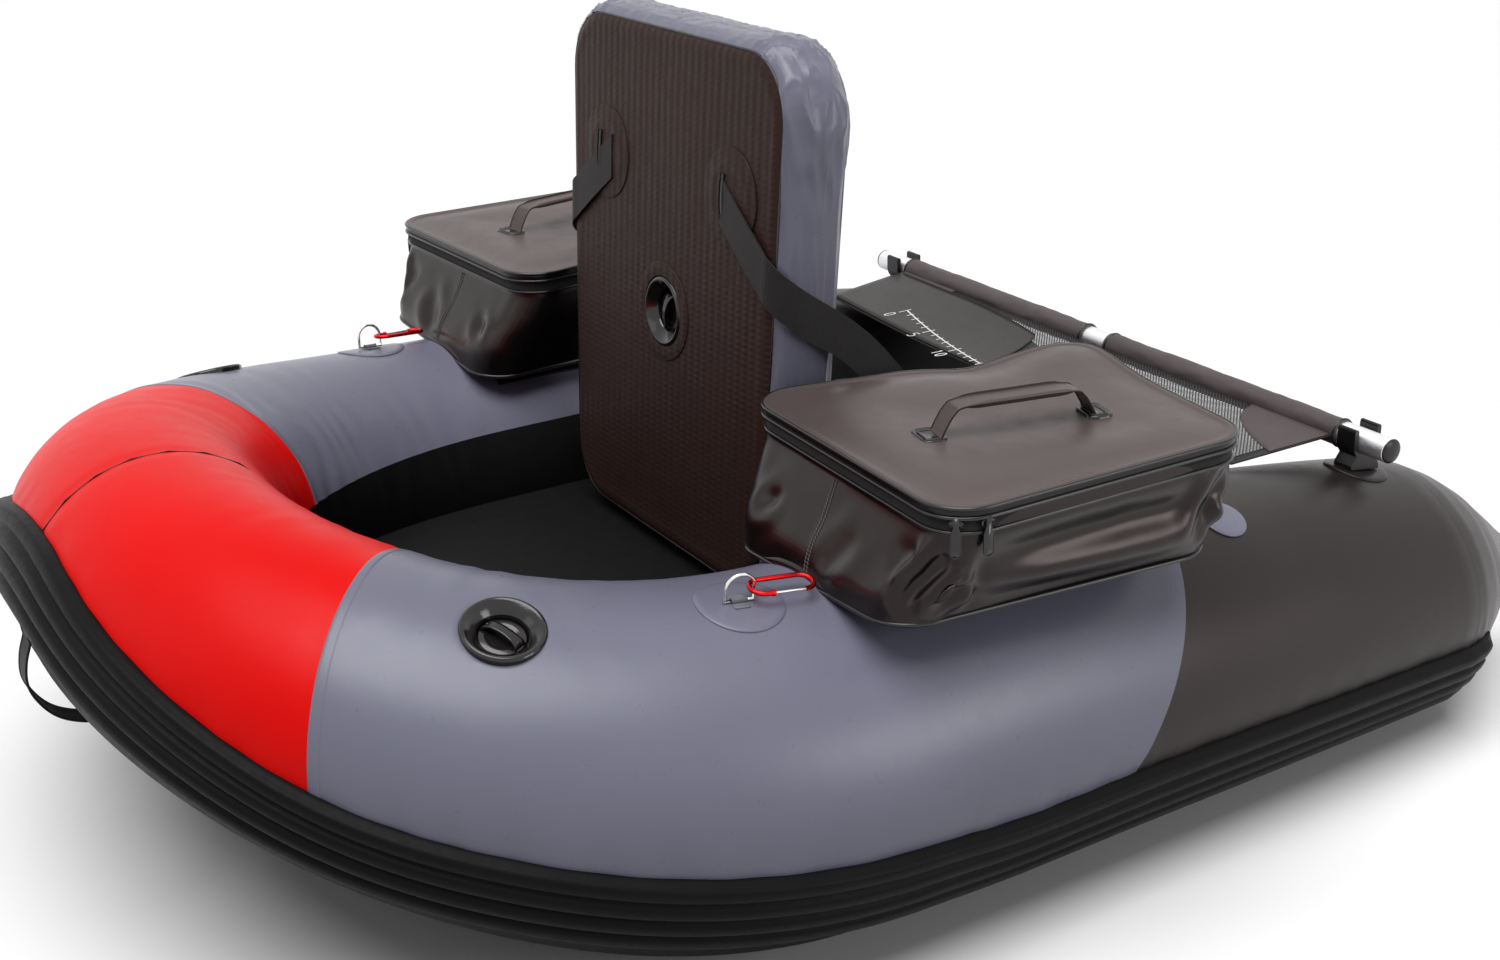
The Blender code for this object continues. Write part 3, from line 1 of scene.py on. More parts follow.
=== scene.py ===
# %% [markdown]
# # An inflatable float tube, dressed for its portrait
# A float tube is a small U-shaped boat. One air tube runs round the closed bow and back along both sides,
# and the angler sits between the sides with their legs in the water. The imported model already gives every
# piece its real size and place, so this lesson only makes the surfaces: coated fabric, rubber, webbing and
# net. We load that model first. Nothing we add may grow past it.

# %% Load the imported model
import math

import bmesh
import bpy
from mathutils import Matrix, Vector, noise
from mathutils.bvhtree import BVHTree


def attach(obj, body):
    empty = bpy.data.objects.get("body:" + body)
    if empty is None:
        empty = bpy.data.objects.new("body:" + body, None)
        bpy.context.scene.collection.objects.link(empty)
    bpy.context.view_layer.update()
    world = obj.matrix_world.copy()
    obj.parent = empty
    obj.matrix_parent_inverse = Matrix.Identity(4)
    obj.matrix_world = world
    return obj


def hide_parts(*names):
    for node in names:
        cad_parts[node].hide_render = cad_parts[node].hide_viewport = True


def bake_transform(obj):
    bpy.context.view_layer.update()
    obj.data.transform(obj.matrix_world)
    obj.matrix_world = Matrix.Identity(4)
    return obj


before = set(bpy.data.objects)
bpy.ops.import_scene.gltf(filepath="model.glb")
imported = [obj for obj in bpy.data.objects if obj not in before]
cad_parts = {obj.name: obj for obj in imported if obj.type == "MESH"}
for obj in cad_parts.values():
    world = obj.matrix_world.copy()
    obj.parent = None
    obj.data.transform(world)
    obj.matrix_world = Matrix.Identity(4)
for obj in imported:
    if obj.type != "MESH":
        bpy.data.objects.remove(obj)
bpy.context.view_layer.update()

# %% [markdown]
# ## Camera and light
# The portrait was taken from behind the left shoulder of the bow, a little above the boat. A 47 mm lens on
# a 36 mm sensor gives the same convergence. The camera's axes are written down directly, because a fitted
# camera is easier to check that way than as three angles.

# %% Camera
CAMERA_PLACE = Vector((1.728, -1.0385, 1.079))
CAMERA_RIGHT = Vector((0.52628, 0.85006, -0.02077))
CAMERA_UP = Vector((-0.31050, 0.21486, 0.92598))
CAMERA_BACK = Vector((0.79160, -0.48088, 0.37701))
FOCAL_LENGTH = 46.73
SENSOR_WIDTH = 36.0


def placed_object(name, data):
    item = bpy.data.objects.new(name, data)
    bpy.context.scene.collection.objects.link(item)
    return item


lens = bpy.data.cameras.new("portrait_lens")
lens.sensor_fit = "HORIZONTAL"
lens.sensor_width = SENSOR_WIDTH
lens.lens = FOCAL_LENGTH
camera = placed_object("portrait_camera", lens)
turned = Matrix((CAMERA_RIGHT, CAMERA_UP, CAMERA_BACK)).transposed().to_4x4()
camera.matrix_world = Matrix.Translation(CAMERA_PLACE) @ turned
bpy.context.scene.camera = camera
bpy.context.scene.view_settings.view_transform = "Standard"
print("lens", lens.lens, "mm")

# %% [markdown]
# A product portrait uses large soft lamps, so that black fabric shows broad pale sheens instead of hard
# spots. The world fills in the shadows. Rays that come straight from the camera or from a mirror-like
# surface see a white studio, while everything else gets the plain fill level.

# %% White studio
FILL_LEVEL = 0.15
FILL_COLOUR = (1.0, 0.98, 0.985, 1)
WHITE = (1, 1, 1, 1)


def seen_directly(tree):
    """1 for rays from the camera, a reflection or a clear surface, 0 for rays that only fill in light."""
    path = tree.nodes.new("ShaderNodeLightPath")
    seen = path.outputs["Is Camera Ray"]
    for other in ("Is Glossy Ray", "Is Transmission Ray"):
        join = tree.nodes.new("ShaderNodeMath")
        join.operation = "MAXIMUM"
        tree.links.new(seen, join.inputs[0])
        tree.links.new(path.outputs[other], join.inputs[1])
        seen = join.outputs[0]
    return seen


def background(tree, colour, strength):
    made = tree.nodes.new("ShaderNodeBackground")
    made.inputs["Color"].default_value = colour
    made.inputs["Strength"].default_value = strength
    return made.outputs[0]


def studio_world():
    world = bpy.data.worlds.new("white_studio")
    bpy.context.scene.world = world
    world.use_nodes = True
    tree = world.node_tree
    tree.nodes.clear()
    sources = [seen_directly(tree), background(tree, FILL_COLOUR, FILL_LEVEL), background(tree, WHITE, 1)]
    choose = tree.nodes.new("ShaderNodeMixShader")
    out = tree.nodes.new("ShaderNodeOutputWorld")
    for k, socket in enumerate(sources):
        tree.links.new(socket, choose.inputs[k])
    tree.links.new(choose.outputs[0], out.inputs[0])
    return world


print("world", studio_world().name)

# %% [markdown]
# A wide soft sun overhead stands for the studio's ceiling lights, and leaves a soft shadow under the hull.
# Two square lamps add the shapes that gloss needs: a weak one beyond the bow, and a stronger one on the
# near side that draws the long pale sheen on the grey panel.

# %% Lamps
SKY_STRENGTH = 3.1
SKY_SPREAD = math.radians(50)
SKY_TILT = (math.radians(12), math.radians(8), 0)


def soft_lamp(name, place, target, size, watts):
    """Square area lamp aimed at a point."""
    light = bpy.data.lights.new(name, "AREA")
    light.shape = "SQUARE"
    light.size = size
    light.energy = watts
    lamp = placed_object(name, light)
    aim = (Vector(target) - Vector(place)).to_track_quat("-Z", "Y")
    lamp.matrix_world = Matrix.Translation(place) @ aim.to_matrix().to_4x4()


sky = bpy.data.lights.new("sky_lamp", "SUN")
sky.energy = SKY_STRENGTH
sky.angle = SKY_SPREAD
placed_object("sky_lamp", sky).rotation_euler = SKY_TILT
soft_lamp("bow_lamp", (-0.6, -3.2, 1.9), target=(0, 0, 0.3), size=1.6, watts=6)
soft_lamp("side_lamp", (3.6, 1.8, 1.3), target=(0.3, 0, 0.35), size=1.5, watts=34)

# %% [markdown]
# ## Helpers for surfaces
# Most pieces here are skins: rows of points joined by quads. Each skin gets a UV map in metres, so one
# weave setting fits every fabric piece, whatever its size. Every piece then rides on the body it moves
# with, and takes the place of the plain solids that it stands for.

# %% Skins from rows of points
WELD_DISTANCE = 1e-6
HUB_REACH = 0.02        # how far a fan runs on in its UV map
CAP_REACH = 0.01        # and how far a flat end does


def weld(mesh, distance=WELD_DISTANCE):
    """Join points that lie together and turn all faces outwards."""
    shell = bmesh.new()
    shell.from_mesh(mesh)
    bmesh.ops.remove_doubles(shell, verts=shell.verts, dist=distance)
    bmesh.ops.recalc_face_normals(shell, faces=shell.faces)
    shell.to_mesh(mesh)
    shell.free()
    mesh.shade_smooth()
    return mesh


def running_lengths(places):
    lengths = [0.0]
    for before, after in zip(places, places[1:]):
        lengths.append(lengths[-1] + (after - before).length)
    return lengths


def skin(name, rows, around=False, hubs=(), ends=False):
    """Skin through rows of points: around makes each row a ring, and a hub closes an end row with a fan."""
    count = len(rows[0])
    span = count if around else count - 1
    points = [Vector(p) for row in rows for p in row]
    middle = rows[len(rows) // 2]
    across = running_lengths([Vector(middle[k % count]) for k in range(span + 1)])
    centres = [sum((Vector(p) for p in row), Vector()) / count for row in rows]
    along = running_lengths([Vector(row[0]) for row in rows] if not around else centres)
    faces = []
    marks = []
    for row in range(len(rows) - 1):
        for k in range(span):
            nxt = (k + 1) % count
            low = row * count
            faces.append((low + k, low + nxt, low + count + nxt, low + count + k))
            near, far = along[row], along[row + 1]
            marks.append(((across[k], near), (across[k + 1], near), (across[k + 1], far), (across[k], far)))
    for row, hub in hubs:
        points.append(Vector(hub))
        low = (row % len(rows)) * count
        for k in range(span):
            faces.append((len(points) - 1, low + k, low + (k + 1) % count))
            height = along[row % len(rows)]
            marks.append(((across[k], height + HUB_REACH), (across[k], height), (across[k + 1], height)))
    if ends:
        for row in (0, len(rows) - 1):
            low = row * count
            for k in range(count // 2 - 1):
                faces.append((low + k, low + k + 1, low + count - 2 - k, low + count - 1 - k))
                near, far = across[k], across[k + 1]
                marks.append(((near, 0), (far, 0), (far, CAP_REACH), (near, CAP_REACH)))
    mesh = bpy.data.meshes.new(name)
    mesh.from_pydata([tuple(p) for p in points], [], faces)
    layer = mesh.uv_layers.new(name="metres")
    flat = [value for face in marks for mark in face for value in mark]
    layer.data.foreach_set("uv", flat)
    return weld(mesh)


print("skins weld points closer than", WELD_DISTANCE, "m")

# %% [markdown]
# A piece is a mesh or a curve with its finish. It rides on the body that it moves with, and hides the
# plain solids that it stands for, which stay in the model for collision. One call does all that, so no
# piece is forgotten. Easing functions follow, because every soft shape fades out somewhere.

# %% Pieces and easing
SIDES = (("right", 1), ("left", -1))


def piece(mesh, finish, body="hull", nodes=()):
    """One piece of the boat: a mesh or curve with its finish, riding on its body in the solids' place."""
    item = placed_object(mesh.name, mesh)
    for material in finish if isinstance(finish, (list, tuple)) else [finish]:
        mesh.materials.append(material)
    if body:
        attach(item, body)
    if nodes:
        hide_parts(*nodes)
    return item


def crease(mesh, degrees):
    """Keep edges sharp where faces turn by more than this."""
    mesh.set_sharp_from_angle(angle=math.radians(degrees))
    return mesh


def give_thickness(item, thick, offset=1):
    cloth = item.modifiers.new("cloth", "SOLIDIFY")
    cloth.thickness = thick
    cloth.offset = offset


def hub_of(row):
    return sum((Vector(p) for p in row), Vector()) / len(row)


def closed_tube(name, rows):
    """Skin of rings, closed by a fan at both ends."""
    return skin(name, rows, around=True, hubs=[(0, hub_of(rows[0])), (-1, hub_of(rows[-1]))])


def handed(row, hand):
    """A row of points on the right, or mirrored to the left."""
    return [Vector((hand * p.x, p.y, p.z)) for p in row]


def spread(first, last, steps):
    return [first + (last - first) * k / steps for k in range(steps + 1)]


def ease(value, low, high):
    share = min(max((value - low) / (high - low), 0.0), 1.0)
    return share * share * (3 - 2 * share)


def bell(value, centre, width):
    return math.exp(-((value - centre) / width) ** 2)


print("a bell is", round(bell(1, 0, 1), 3), "high one width from its centre")

# %% [markdown]
# ## Finishes
# The boat is nearly all PVC-coated polyester. The coating is smooth and a little glossy, and the weave
# under it only shows as a fine diagonal grain where light grazes it. We build that as bump from two
# crossed wave textures, add broad soft unevenness, and vary the colour and the roughness slightly, as
# handling does.

# %% A base for node-made finishes
WAVES_PER_TURN = 20     # the wave texture has this many waves in 2 pi units


class Finish:
    """Small helper that wires nodes for one material."""

    def __init__(self, name):
        self.material = bpy.data.materials.new(name)
        self.material.use_nodes = True
        self.tree = self.material.node_tree
        self.shader = self.tree.nodes["Principled BSDF"]
        self.where = self.tree.nodes.new("ShaderNodeTexCoord")

    def node(self, kind, inputs=(), **settings):
        made = self.tree.nodes.new("ShaderNode" + kind)
        for key, value in settings.items():
            setattr(made, key, value)
        for key, value in dict(inputs).items():
            made.inputs[key].default_value = value
        return made

    def link(self, source, target):
        self.tree.links.new(source, target)

    def mapped(self, scale, turn=0.0, coordinates="UV"):
        """Coordinates scaled, and turned about Z."""
        mapping = self.node("Mapping", {"Scale": (scale,) * 3, "Rotation": (0, 0, turn)})
        self.link(self.where.outputs[coordinates], mapping.inputs["Vector"])
        return mapping.outputs["Vector"]

    def noise(self, scale, detail=3.0, coordinates="Object"):
        made = self.node("TexNoise", {"Scale": scale, "Detail": detail})
        self.link(self.where.outputs[coordinates], made.inputs["Vector"])
        return made.outputs["Fac"]

    def waves(self, pitch, turn=0.0, coordinates="UV", direction="X"):
        """Parallel ribs, a pitch in metres apart, turned about Z."""
        made = self.node("TexWave", {"Scale": 1}, wave_profile="SIN", bands_direction=direction)
        self.link(self.mapped(math.tau / WAVES_PER_TURN / pitch, turn, coordinates), made.inputs["Vector"])
        return made.outputs["Fac"]

    def math(self, operation, a, b):
        made = self.node("Math", operation=operation)
        for socket, value in zip(made.inputs, (a, b)):
            if isinstance(value, (int, float)):
                socket.default_value = value
            else:
                self.link(value, socket)
        return made.outputs[0]

    def ranged(self, value, low, high, into="Roughness"):
        made = self.node("MapRange", {"To Min": low, "To Max": high})
        self.link(value, made.inputs["Value"])
        if into:
            self.link(made.outputs["Result"], self.shader.inputs[into])
        return made.outputs["Result"]

    def tinted(self, colour, dark, light, value):
        """Base colour between two shades of one colour."""
        shades = {"A": (*[c * dark for c in colour], 1), "B": (*[min(c * light, 1) for c in colour], 1)}
        mix = self.node("Mix", shades, data_type="RGBA")
        self.link(value, mix.inputs["Factor"])
        self.link(mix.outputs["Result"], self.shader.inputs["Base Color"])
        return mix

    def bump(self, height, distance):
        made = self.node("Bump", {"Distance": distance, "Strength": 1})
        self.link(height, made.inputs["Height"])
        previous = self.shader.inputs["Normal"]
        if previous.is_linked:
            self.link(previous.links[0].from_socket, made.inputs["Normal"])
        self.link(made.outputs["Normal"], previous)

    def set(self, **values):
        for key, value in values.items():
            self.shader.inputs[key.replace("_", " ")].default_value = value


print("a finish has one shader and as many textures as it needs")

# %% [markdown]
# Two kinds of cloth are used. Coated fabric has a weave that only shows through its coat, so its bump is a
# few hundredths of a millimetre. Webbing is bare yarn, so its ribs are ten times higher and it has a
# little sheen. Each has a pair of shades, because no real surface is the same all over.

# %% Cloth
DIAGONAL = math.radians(45)
PLAIN_TINT = (1, 1, 1)
WEBBING_RIB = 0.0016
WEBBING_ROW = 0.0022
RIB_SLANT = math.radians(28)


def coated_fabric(name, colour, rough, weave=0.0011, grain=0.00004, uneven=0.0005, shine=0.5,
                  tint=PLAIN_TINT):
    """PVC-coated fabric: a smooth coat with the weave's diagonal grain showing through."""
    f = Finish(name)
    f.tinted(colour, 0.90, 1.08, f.noise(7, 4))
    f.ranged(f.noise(55, 5), rough * 0.85, rough * 1.25)
    threads = f.math("MULTIPLY", f.waves(weave, DIAGONAL), f.waves(weave, -DIAGONAL))
    f.bump(threads, grain)
    f.bump(f.noise(14, 3), uneven)
    f.set(Specular_IOR_Level=shine, Specular_Tint=(*tint, 1))
    return f.material


def webbing_finish(name, colour=(0.009, 0.0078, 0.0078)):
    """Woven polyester webbing: short diagonal ribs across the strap."""
    f = Finish(name)
    f.tinted(colour, 0.7, 1.6, f.noise(90, 3))
    ribs = f.math("MULTIPLY", f.waves(WEBBING_RIB, RIB_SLANT), f.waves(WEBBING_ROW, 2 * DIAGONAL))
    f.ranged(ribs, 0.62, 0.85)
    f.bump(ribs, 0.00035)
    f.set(Sheen_Weight=0.08, Sheen_Roughness=0.5, Specular_IOR_Level=0.25)
    return f.material


WARM_SHEEN = (1.0, 0.84, 0.82)
RED_FABRIC = coated_fabric("red_coated_fabric", (0.74, 0.003, 0.002), 0.36, shine=0.12)
GREY_FABRIC = coated_fabric("grey_coated_fabric", (0.150, 0.151, 0.208), 0.28, shine=0.40)
BLACK_FABRIC = coated_fabric("black_coated_fabric", (0.010, 0.008, 0.008), 0.33, shine=0.33, tint=WARM_SHEEN)
# The belly's black is darker than the tail panels' black: partly the belly cloth's own black, partly painted
# shade for the hull's underside.
BELLY_FABRIC_PAINTED_SHADE = coated_fabric("belly_fabric_painted_shade", (0.004, 0.0037, 0.004), 0.50, shine=0.08)
BAG_FABRIC = coated_fabric("bag_tarpaulin", (0.006, 0.0044, 0.0044), 0.23, weave=0.0016, uneven=0.0006,
                           shine=0.34, tint=WARM_SHEEN)
# The lid's base colour is the cloth's own dark brown, lifted well above the bag's: a painted sheen for the
# soft overhead light on the lid's top.
LID_FABRIC_PAINTED_SHEEN = coated_fabric("lid_tarpaulin_painted_sheen", (0.064, 0.048, 0.047), 0.40, weave=0.0016, uneven=0.0006,
                           shine=0.42, tint=WARM_SHEEN)
WEBBING_BLACK = webbing_finish("black_webbing")
WEBBING_GREY = webbing_finish("grey_webbing", (0.14, 0.145, 0.17))
print(len(bpy.data.materials), "cloth materials")

# %% [markdown]
# The rest is rubber, moulded plastic, vinyl piping and metal. Rubber is dull and slightly uneven. Moulded
# parts are smoother than cloth and pick up clear highlights. Metal gets its look from a low, uneven
# roughness, and the bar from fine lines along it, as it was drawn through a die.

# %% Rubber, plastic and metal
RUBBER_BLACK = (0.0042, 0.0040, 0.0043)
DRAWN_LINE = 0.0007


def rubber_finish(name):
    f = Finish(name)
    f.tinted(RUBBER_BLACK, 0.75, 1.5, f.noise(24, 5))
    f.ranged(f.noise(140, 4), 0.36, 0.58)
    f.bump(f.noise(420, 2), 0.00012)
    f.bump(f.noise(18, 3), 0.0008)
    f.set(Specular_IOR_Level=0.07)
    return f.material


def moulded(name, colour, rough, shine=0.5):
    """Injection-moulded plastic, with a very fine mould texture."""
    f = Finish(name)
    f.tinted(colour, 0.85, 1.15, f.noise(60, 3))
    f.ranged(f.noise(300, 3), rough * 0.8, rough * 1.3)
    f.bump(f.noise(900, 2), 0.00004)
    f.set(Specular_IOR_Level=shine)
    return f.material


def bright_metal(name, colour, rough, brushed=0.0):
    """Metal with fine lines along it, and a slight change of tone."""
    f = Finish(name)
    f.tinted(colour, 0.88, 1.06, f.noise(40, 4))
    f.set(Metallic=1.0)
    f.ranged(f.noise(260, 4), rough * 0.7, rough * 1.4)
    if brushed:
        f.bump(f.waves(DRAWN_LINE, coordinates="Object"), brushed)
    else:
        f.bump(f.noise(700, 2), 0.00002)
    return f.material


PIPING_VINYL = moulded("piping_vinyl", (0.006, 0.005, 0.0055), 0.20)
BINDING_VINYL = moulded("binding_vinyl", (0.007, 0.0056, 0.0056), 0.24, shine=0.28)
THREAD = moulded("polyester_thread", (0.060, 0.054, 0.052), 0.50)
RUBBER = rubber_finish("strake_rubber")
GLOSS_PLASTIC = moulded("valve_plastic", (0.012, 0.010, 0.010), 0.12)
SATIN_PLASTIC = moulded("clip_plastic", (0.010, 0.009, 0.010), 0.30, shine=0.35)
ALUMINIUM = bright_metal("bar_aluminium", (0.86, 0.85, 0.87), 0.40, brushed=0.00003)
STEEL = bright_metal("ring_steel", (0.78, 0.76, 0.72), 0.16)
RED_ANODISED = bright_metal("red_anodised", (0.70, 0.015, 0.018), 0.20)
print(len(bpy.data.materials), "materials")

# %% [markdown]
# ## The tube's shape
# The hull's centre line is one curve: a full, rounded bow that climbs a little, two straight sides and two
# tapered tails. We number places along it with a station, which is 0 at the bow, 1 to 2 along the side and
# 3 at the tip of the tail. Every fitting on the tube can then be placed by a station and an angle round
# the tube.

# %% Centre line and radius
AFT = -0.1515
HALF_TRACK = 0.405
BOW_DEPTH = 0.487
SIDE_LENGTH = 0.726
CONE_LENGTH = 0.210
SIDE_RADIUS = 0.173
BOW_RADIUS = 0.134
TAIL_RADIUS = 0.141
BOW_LIFT = 0.128
CONE_DROP = 0.013
BOW_SHARE_POWER = 2.313
FLAT = math.cos(math.pi / 24)
CONE_SHARES = (
    (0, 1), (0.13, 0.955), (0.28, 0.86), (0.45, 0.72), (0.62, 0.54), (0.78, 0.37), (0.9, 0.24), (1, 0.14),
)
UP = Vector((0, 0, 1))
STEP = 1e-4


def between(pairs, place):
    """Value at a place, on straight lines between listed places and values."""
    for (near, low), (far, high) in zip(pairs, pairs[1:]):
        if place <= far:
            return low + (high - low) * (place - near) / (far - near)
    return pairs[-1][1]


def spine(station):
    """Centre and radius of the tube; stations below 0 are on the left."""
    hand = math.copysign(1, station)
    place = abs(station)
    if place <= 1:
        turn = place * math.pi / 2
        x = HALF_TRACK * math.sin(turn) ** (2 / BOW_SHARE_POWER)
        ahead = abs(math.cos(turn)) ** (2 / BOW_SHARE_POWER)
        y = -BOW_DEPTH * ahead
        radius = SIDE_RADIUS + (BOW_RADIUS - SIDE_RADIUS) * ahead ** 2
        height = SIDE_RADIUS * FLAT + BOW_LIFT * ahead ** 2
    elif place <= 2:
        x = HALF_TRACK
        y = (place - 1) * SIDE_LENGTH
        radius = SIDE_RADIUS + (TAIL_RADIUS - SIDE_RADIUS) * (place - 1) ** 2
        height = radius * FLAT
    else:
        x = HALF_TRACK
        y = SIDE_LENGTH + (place - 2) * CONE_LENGTH
        radius = TAIL_RADIUS * between(CONE_SHARES, place - 2)
        height = TAIL_RADIUS * FLAT - CONE_DROP * (place - 2)
    return Vector((hand * x, y + AFT, height)), radius


def station_at(y):
    """Station of a place aft of the bend, in metres from the bend."""
    return 1 + y / SIDE_LENGTH


def outboard_at(station):
    run = spine(station + STEP)[0] - spine(station - STEP)[0]
    run.z = 0
    run.normalize()
    return Vector((run.y, -run.x, 0))


def on_tube(station, angle, lift=0.0):
    """Point over the skin; angle 0 faces outboard, a quarter turn is the top."""
    centre, radius = spine(station)
    out = math.cos(angle) * outboard_at(station) + math.sin(angle) * UP
    return centre + (radius + lift) * out


def tube_frame(station, angle, lift=0.0):
    """Frame on the skin: X across the tube, Y along it towards the tail, Z outwards."""
    along = on_tube(station + STEP, angle) - on_tube(station - STEP, angle)
    around = on_tube(station, angle - STEP) - on_tube(station, angle + STEP)
    along.normalize()
    normal = around.cross(along).normalized()
    placed = Matrix((along.cross(normal), along, normal)).transposed().to_4x4()
    placed.translation = on_tube(station, angle) + normal * lift
    return placed


for place_name, station in (("bow", 0), ("side", 1.5)):
    print(place_name, "centre", [round(c, 3) for c in spine(station)[0]])

# %% [markdown]
# ## The inflated skin
# Each side is welded from a red bow panel, a grey side panel and a black tail panel over a black belly. A
# taut inflated skin is nearly a perfect surface of revolution, so what makes it look real is small:
# puckers on the inside of the bend, a soft ripple beside the strake, a raised lap where red meets grey, a
# shallow groove at the bow's centre and round each tail, and a flat patch on the ground.

# %% Puckers, laps and the flat patch
RED_SEAM = 0.446
BLACK_SEAM = 1.336
SEAM_RAKE = 0.110
BELLY_LEVEL = 0.272
STRAKE_WIDTH = 0.080
GLUE = 0.0006           # glued pieces sit this far over the true tube
TAIL_WELDS = (2.03, 2.34)
STRAKE_TOP_DEGREES = (
    (0, 39), (0.06, 37.2), (0.12, 32.2), (0.25, 21), (0.36, 11.5), (0.44, 5), (0.52, 1), (0.75, -4),
    (1, -7.6), (1.12, -10.6), (1.35, -9), (3, -12),
)
UPPER_STEPS = 84
BELLY_STEPS = 40


def strake_top(station):
    """Angle of the strake's upper edge, eased so that the band bends smoothly."""
    shifts = (-0.05, -0.025, 0, 0.025, 0.05)
    degrees = [between(STRAKE_TOP_DEGREES, abs(abs(station) + shift)) for shift in shifts]
    return math.radians(sum(degrees) / len(degrees))


def belly_angle(station):
    """Angle at which the inner wall turns black."""
    centre, radius = spine(station)
    return math.pi - math.asin(min(max((BELLY_LEVEL - centre.z) / radius, -0.9), 0.9))


def pucker(station, angle):
    """Height of the skin's small waves over the true tube."""
    place = abs(station)
    wander = noise.noise(Vector((station * 9, angle * 1.4, 3.1)))
    # puckers on the inside of the bend
    inner = bell(angle, math.radians(158), math.radians(40)) * bell(place, 0.52, 0.34)
    waves = math.sin(place * 118 + 5 * wander + 1.3 * angle)
    height = 0.0016 * inner * waves * (0.6 + 0.4 * wander)
    # a ripple beside the strake
    edge = bell(angle, strake_top(station) + 0.03, math.radians(9))
    height += 0.0005 * edge * math.sin(place * 95 + 4 * wander)
    # faint waves over the top of the bend, and a slow unevenness everywhere
    top = bell(angle, math.radians(100), math.radians(45)) * bell(place, 0.45, 0.25)
    height += 0.0005 * top * math.sin(place * 70 + 6 * wander)
    height += 0.0011 * noise.noise(Vector((station * 3.1, angle * 1.1, 8.0)))
    # the welds at the bow's centre and round each tail
    height -= 0.0016 * bell(place, 0, 0.006)
    height -= 0.0010 * bell(place, TAIL_WELDS[0], 0.008) + 0.0006 * bell(place, TAIL_WELDS[1], 0.008)
    return height


def hull_rows(stations, first_angle, last_angle, steps, lift=0.0):
    rows = []
    for station in stations:
        low, high = first_angle(station), last_angle(station)
        lean = SEAM_RAKE / SIDE_LENGTH * ease(abs(station), 1.0, BLACK_SEAM)
        lean *= 1 - ease(abs(station), BLACK_SEAM + 0.08, 1.75)
        row = []
        for angle in spread(low, high, steps):
            place = station + math.copysign(lean, station) * math.sin(angle)
            point = on_tube(place, angle, pucker(place, angle) + lift)
            point.z = max(point.z, GLUE)
            row.append(point)
        rows.append(row)
    return rows


def under_strake(station):
    return strake_top(station) - STRAKE_WIDTH / 2 / spine(station)[1]


def after_belly(station):
    return under_strake(station) + math.tau


print("strake's edge at the bow", round(math.degrees(strake_top(0))), "degrees above level")

# %% [markdown]
# The coloured panels and the belly are separate skins that meet under the strake and on the inner wall.
# That is also how the boat is cut: the weld lines then run exactly where the colours change. A thin lap
# strip covers the joint, because the panels overlap there.

# %% Hull panels
LAP_WIDTH = 0.012
LAP_PROUD = 0.0007
LAP_EDGE = 0.0001
TIP_REACH = 0.004


def panel_skin(name, rows, finish, nodes=(), tip=None):
    """Skin of one panel, drawn together to a tip at the end of a tail."""
    piece(skin(name, rows, hubs=[(-1, tip)] if tip else []), finish, "hull", nodes)


def hull_panel(name, stations, finish, nodes, tip=None):
    panel_skin(name, hull_rows(stations, under_strake, belly_angle, UPPER_STEPS), finish, nodes, tip)


def belly_panel(name, stations, tip=None):
    # The belly panels carry painted shade for the underside in their darker black.
    panel_skin(name, hull_rows(stations, belly_angle, after_belly, BELLY_STEPS), BELLY_FABRIC_PAINTED_SHADE, tip=tip)


def lap_strip(name, station, finish):
    """Overlap of two panels: a thin strip just proud of the skin."""
    places = spread(station - LAP_WIDTH / 2, station + LAP_WIDTH / 2, 6)
    rows = []
    for place in places:
        lift = LAP_EDGE if place in (places[0], places[-1]) else LAP_PROUD
        rows += hull_rows([place], under_strake, belly_angle, UPPER_STEPS, lift)
    return piece(skin(name, rows), finish)


bow_stations = spread(-RED_SEAM, RED_SEAM, 96)
hull_panel("bow_panel", bow_stations, RED_FABRIC, ("bow_tube_right", "bow_tube_left"))
belly_panel("bow_belly", bow_stations)
for word, hand in SIDES:
    side_stations = [hand * s for s in spread(RED_SEAM, 1, 70) + spread(1, BLACK_SEAM, 24)[1:]]
    tail_stations = [hand * s for s in spread(BLACK_SEAM, 2, 30) + spread(2, 3, 44)[1:]]
    tip = spine(hand * 3)[0] + Vector((0, TIP_REACH, 0))
    hull_panel(f"side_panel_{word}", side_stations, GREY_FABRIC, (f"side_tube_{word}",))
    hull_panel(f"tail_panel_{word}", tail_stations, BLACK_FABRIC, (f"tail_tube_{word}",), tip)
    belly_panel(f"side_belly_{word}", side_stations)
    belly_panel(f"tail_belly_{word}", tail_stations, tip)
    lap_strip(f"red_lap_{word}", hand * (RED_SEAM + LAP_WIDTH / 2), GREY_FABRIC)

# %% [markdown]
# ## Rubbing strake
# The strake is an extruded rubber band, glued round the widest part of the hull. We sweep one ridged
# profile along the tube. Four ridges with rounded crowns catch four thin lines of light, which is how one
# reads rubber.

# %% Ridged band
STRAKE_PROUD = 0.012
STRAKE_THIN = 0.0012
STRAKE_SUNK = -0.001    # its back lies just inside the tube's skin
STRAKE_END = 2 + 0.050 / CONE_LENGTH
GROOVES = ((0.26, 0.030), (0.50, 0.034), (0.74, 0.030))     # place across the band, and width
RIDGES = 4


def strake_proud(across):
    """Height of the band's face as a share, from its upper to its lower edge."""
    edge = min(across, 1 - across)
    rise = ease(edge, 0, 0.07)
    groove = sum(bell(across, place, wide) for place, wide in GROOVES)
    crown = 0.06 * math.cos(across * math.tau * RIDGES)
    return 0.22 + 0.78 * rise * (1 - 0.62 * groove) - crown * rise


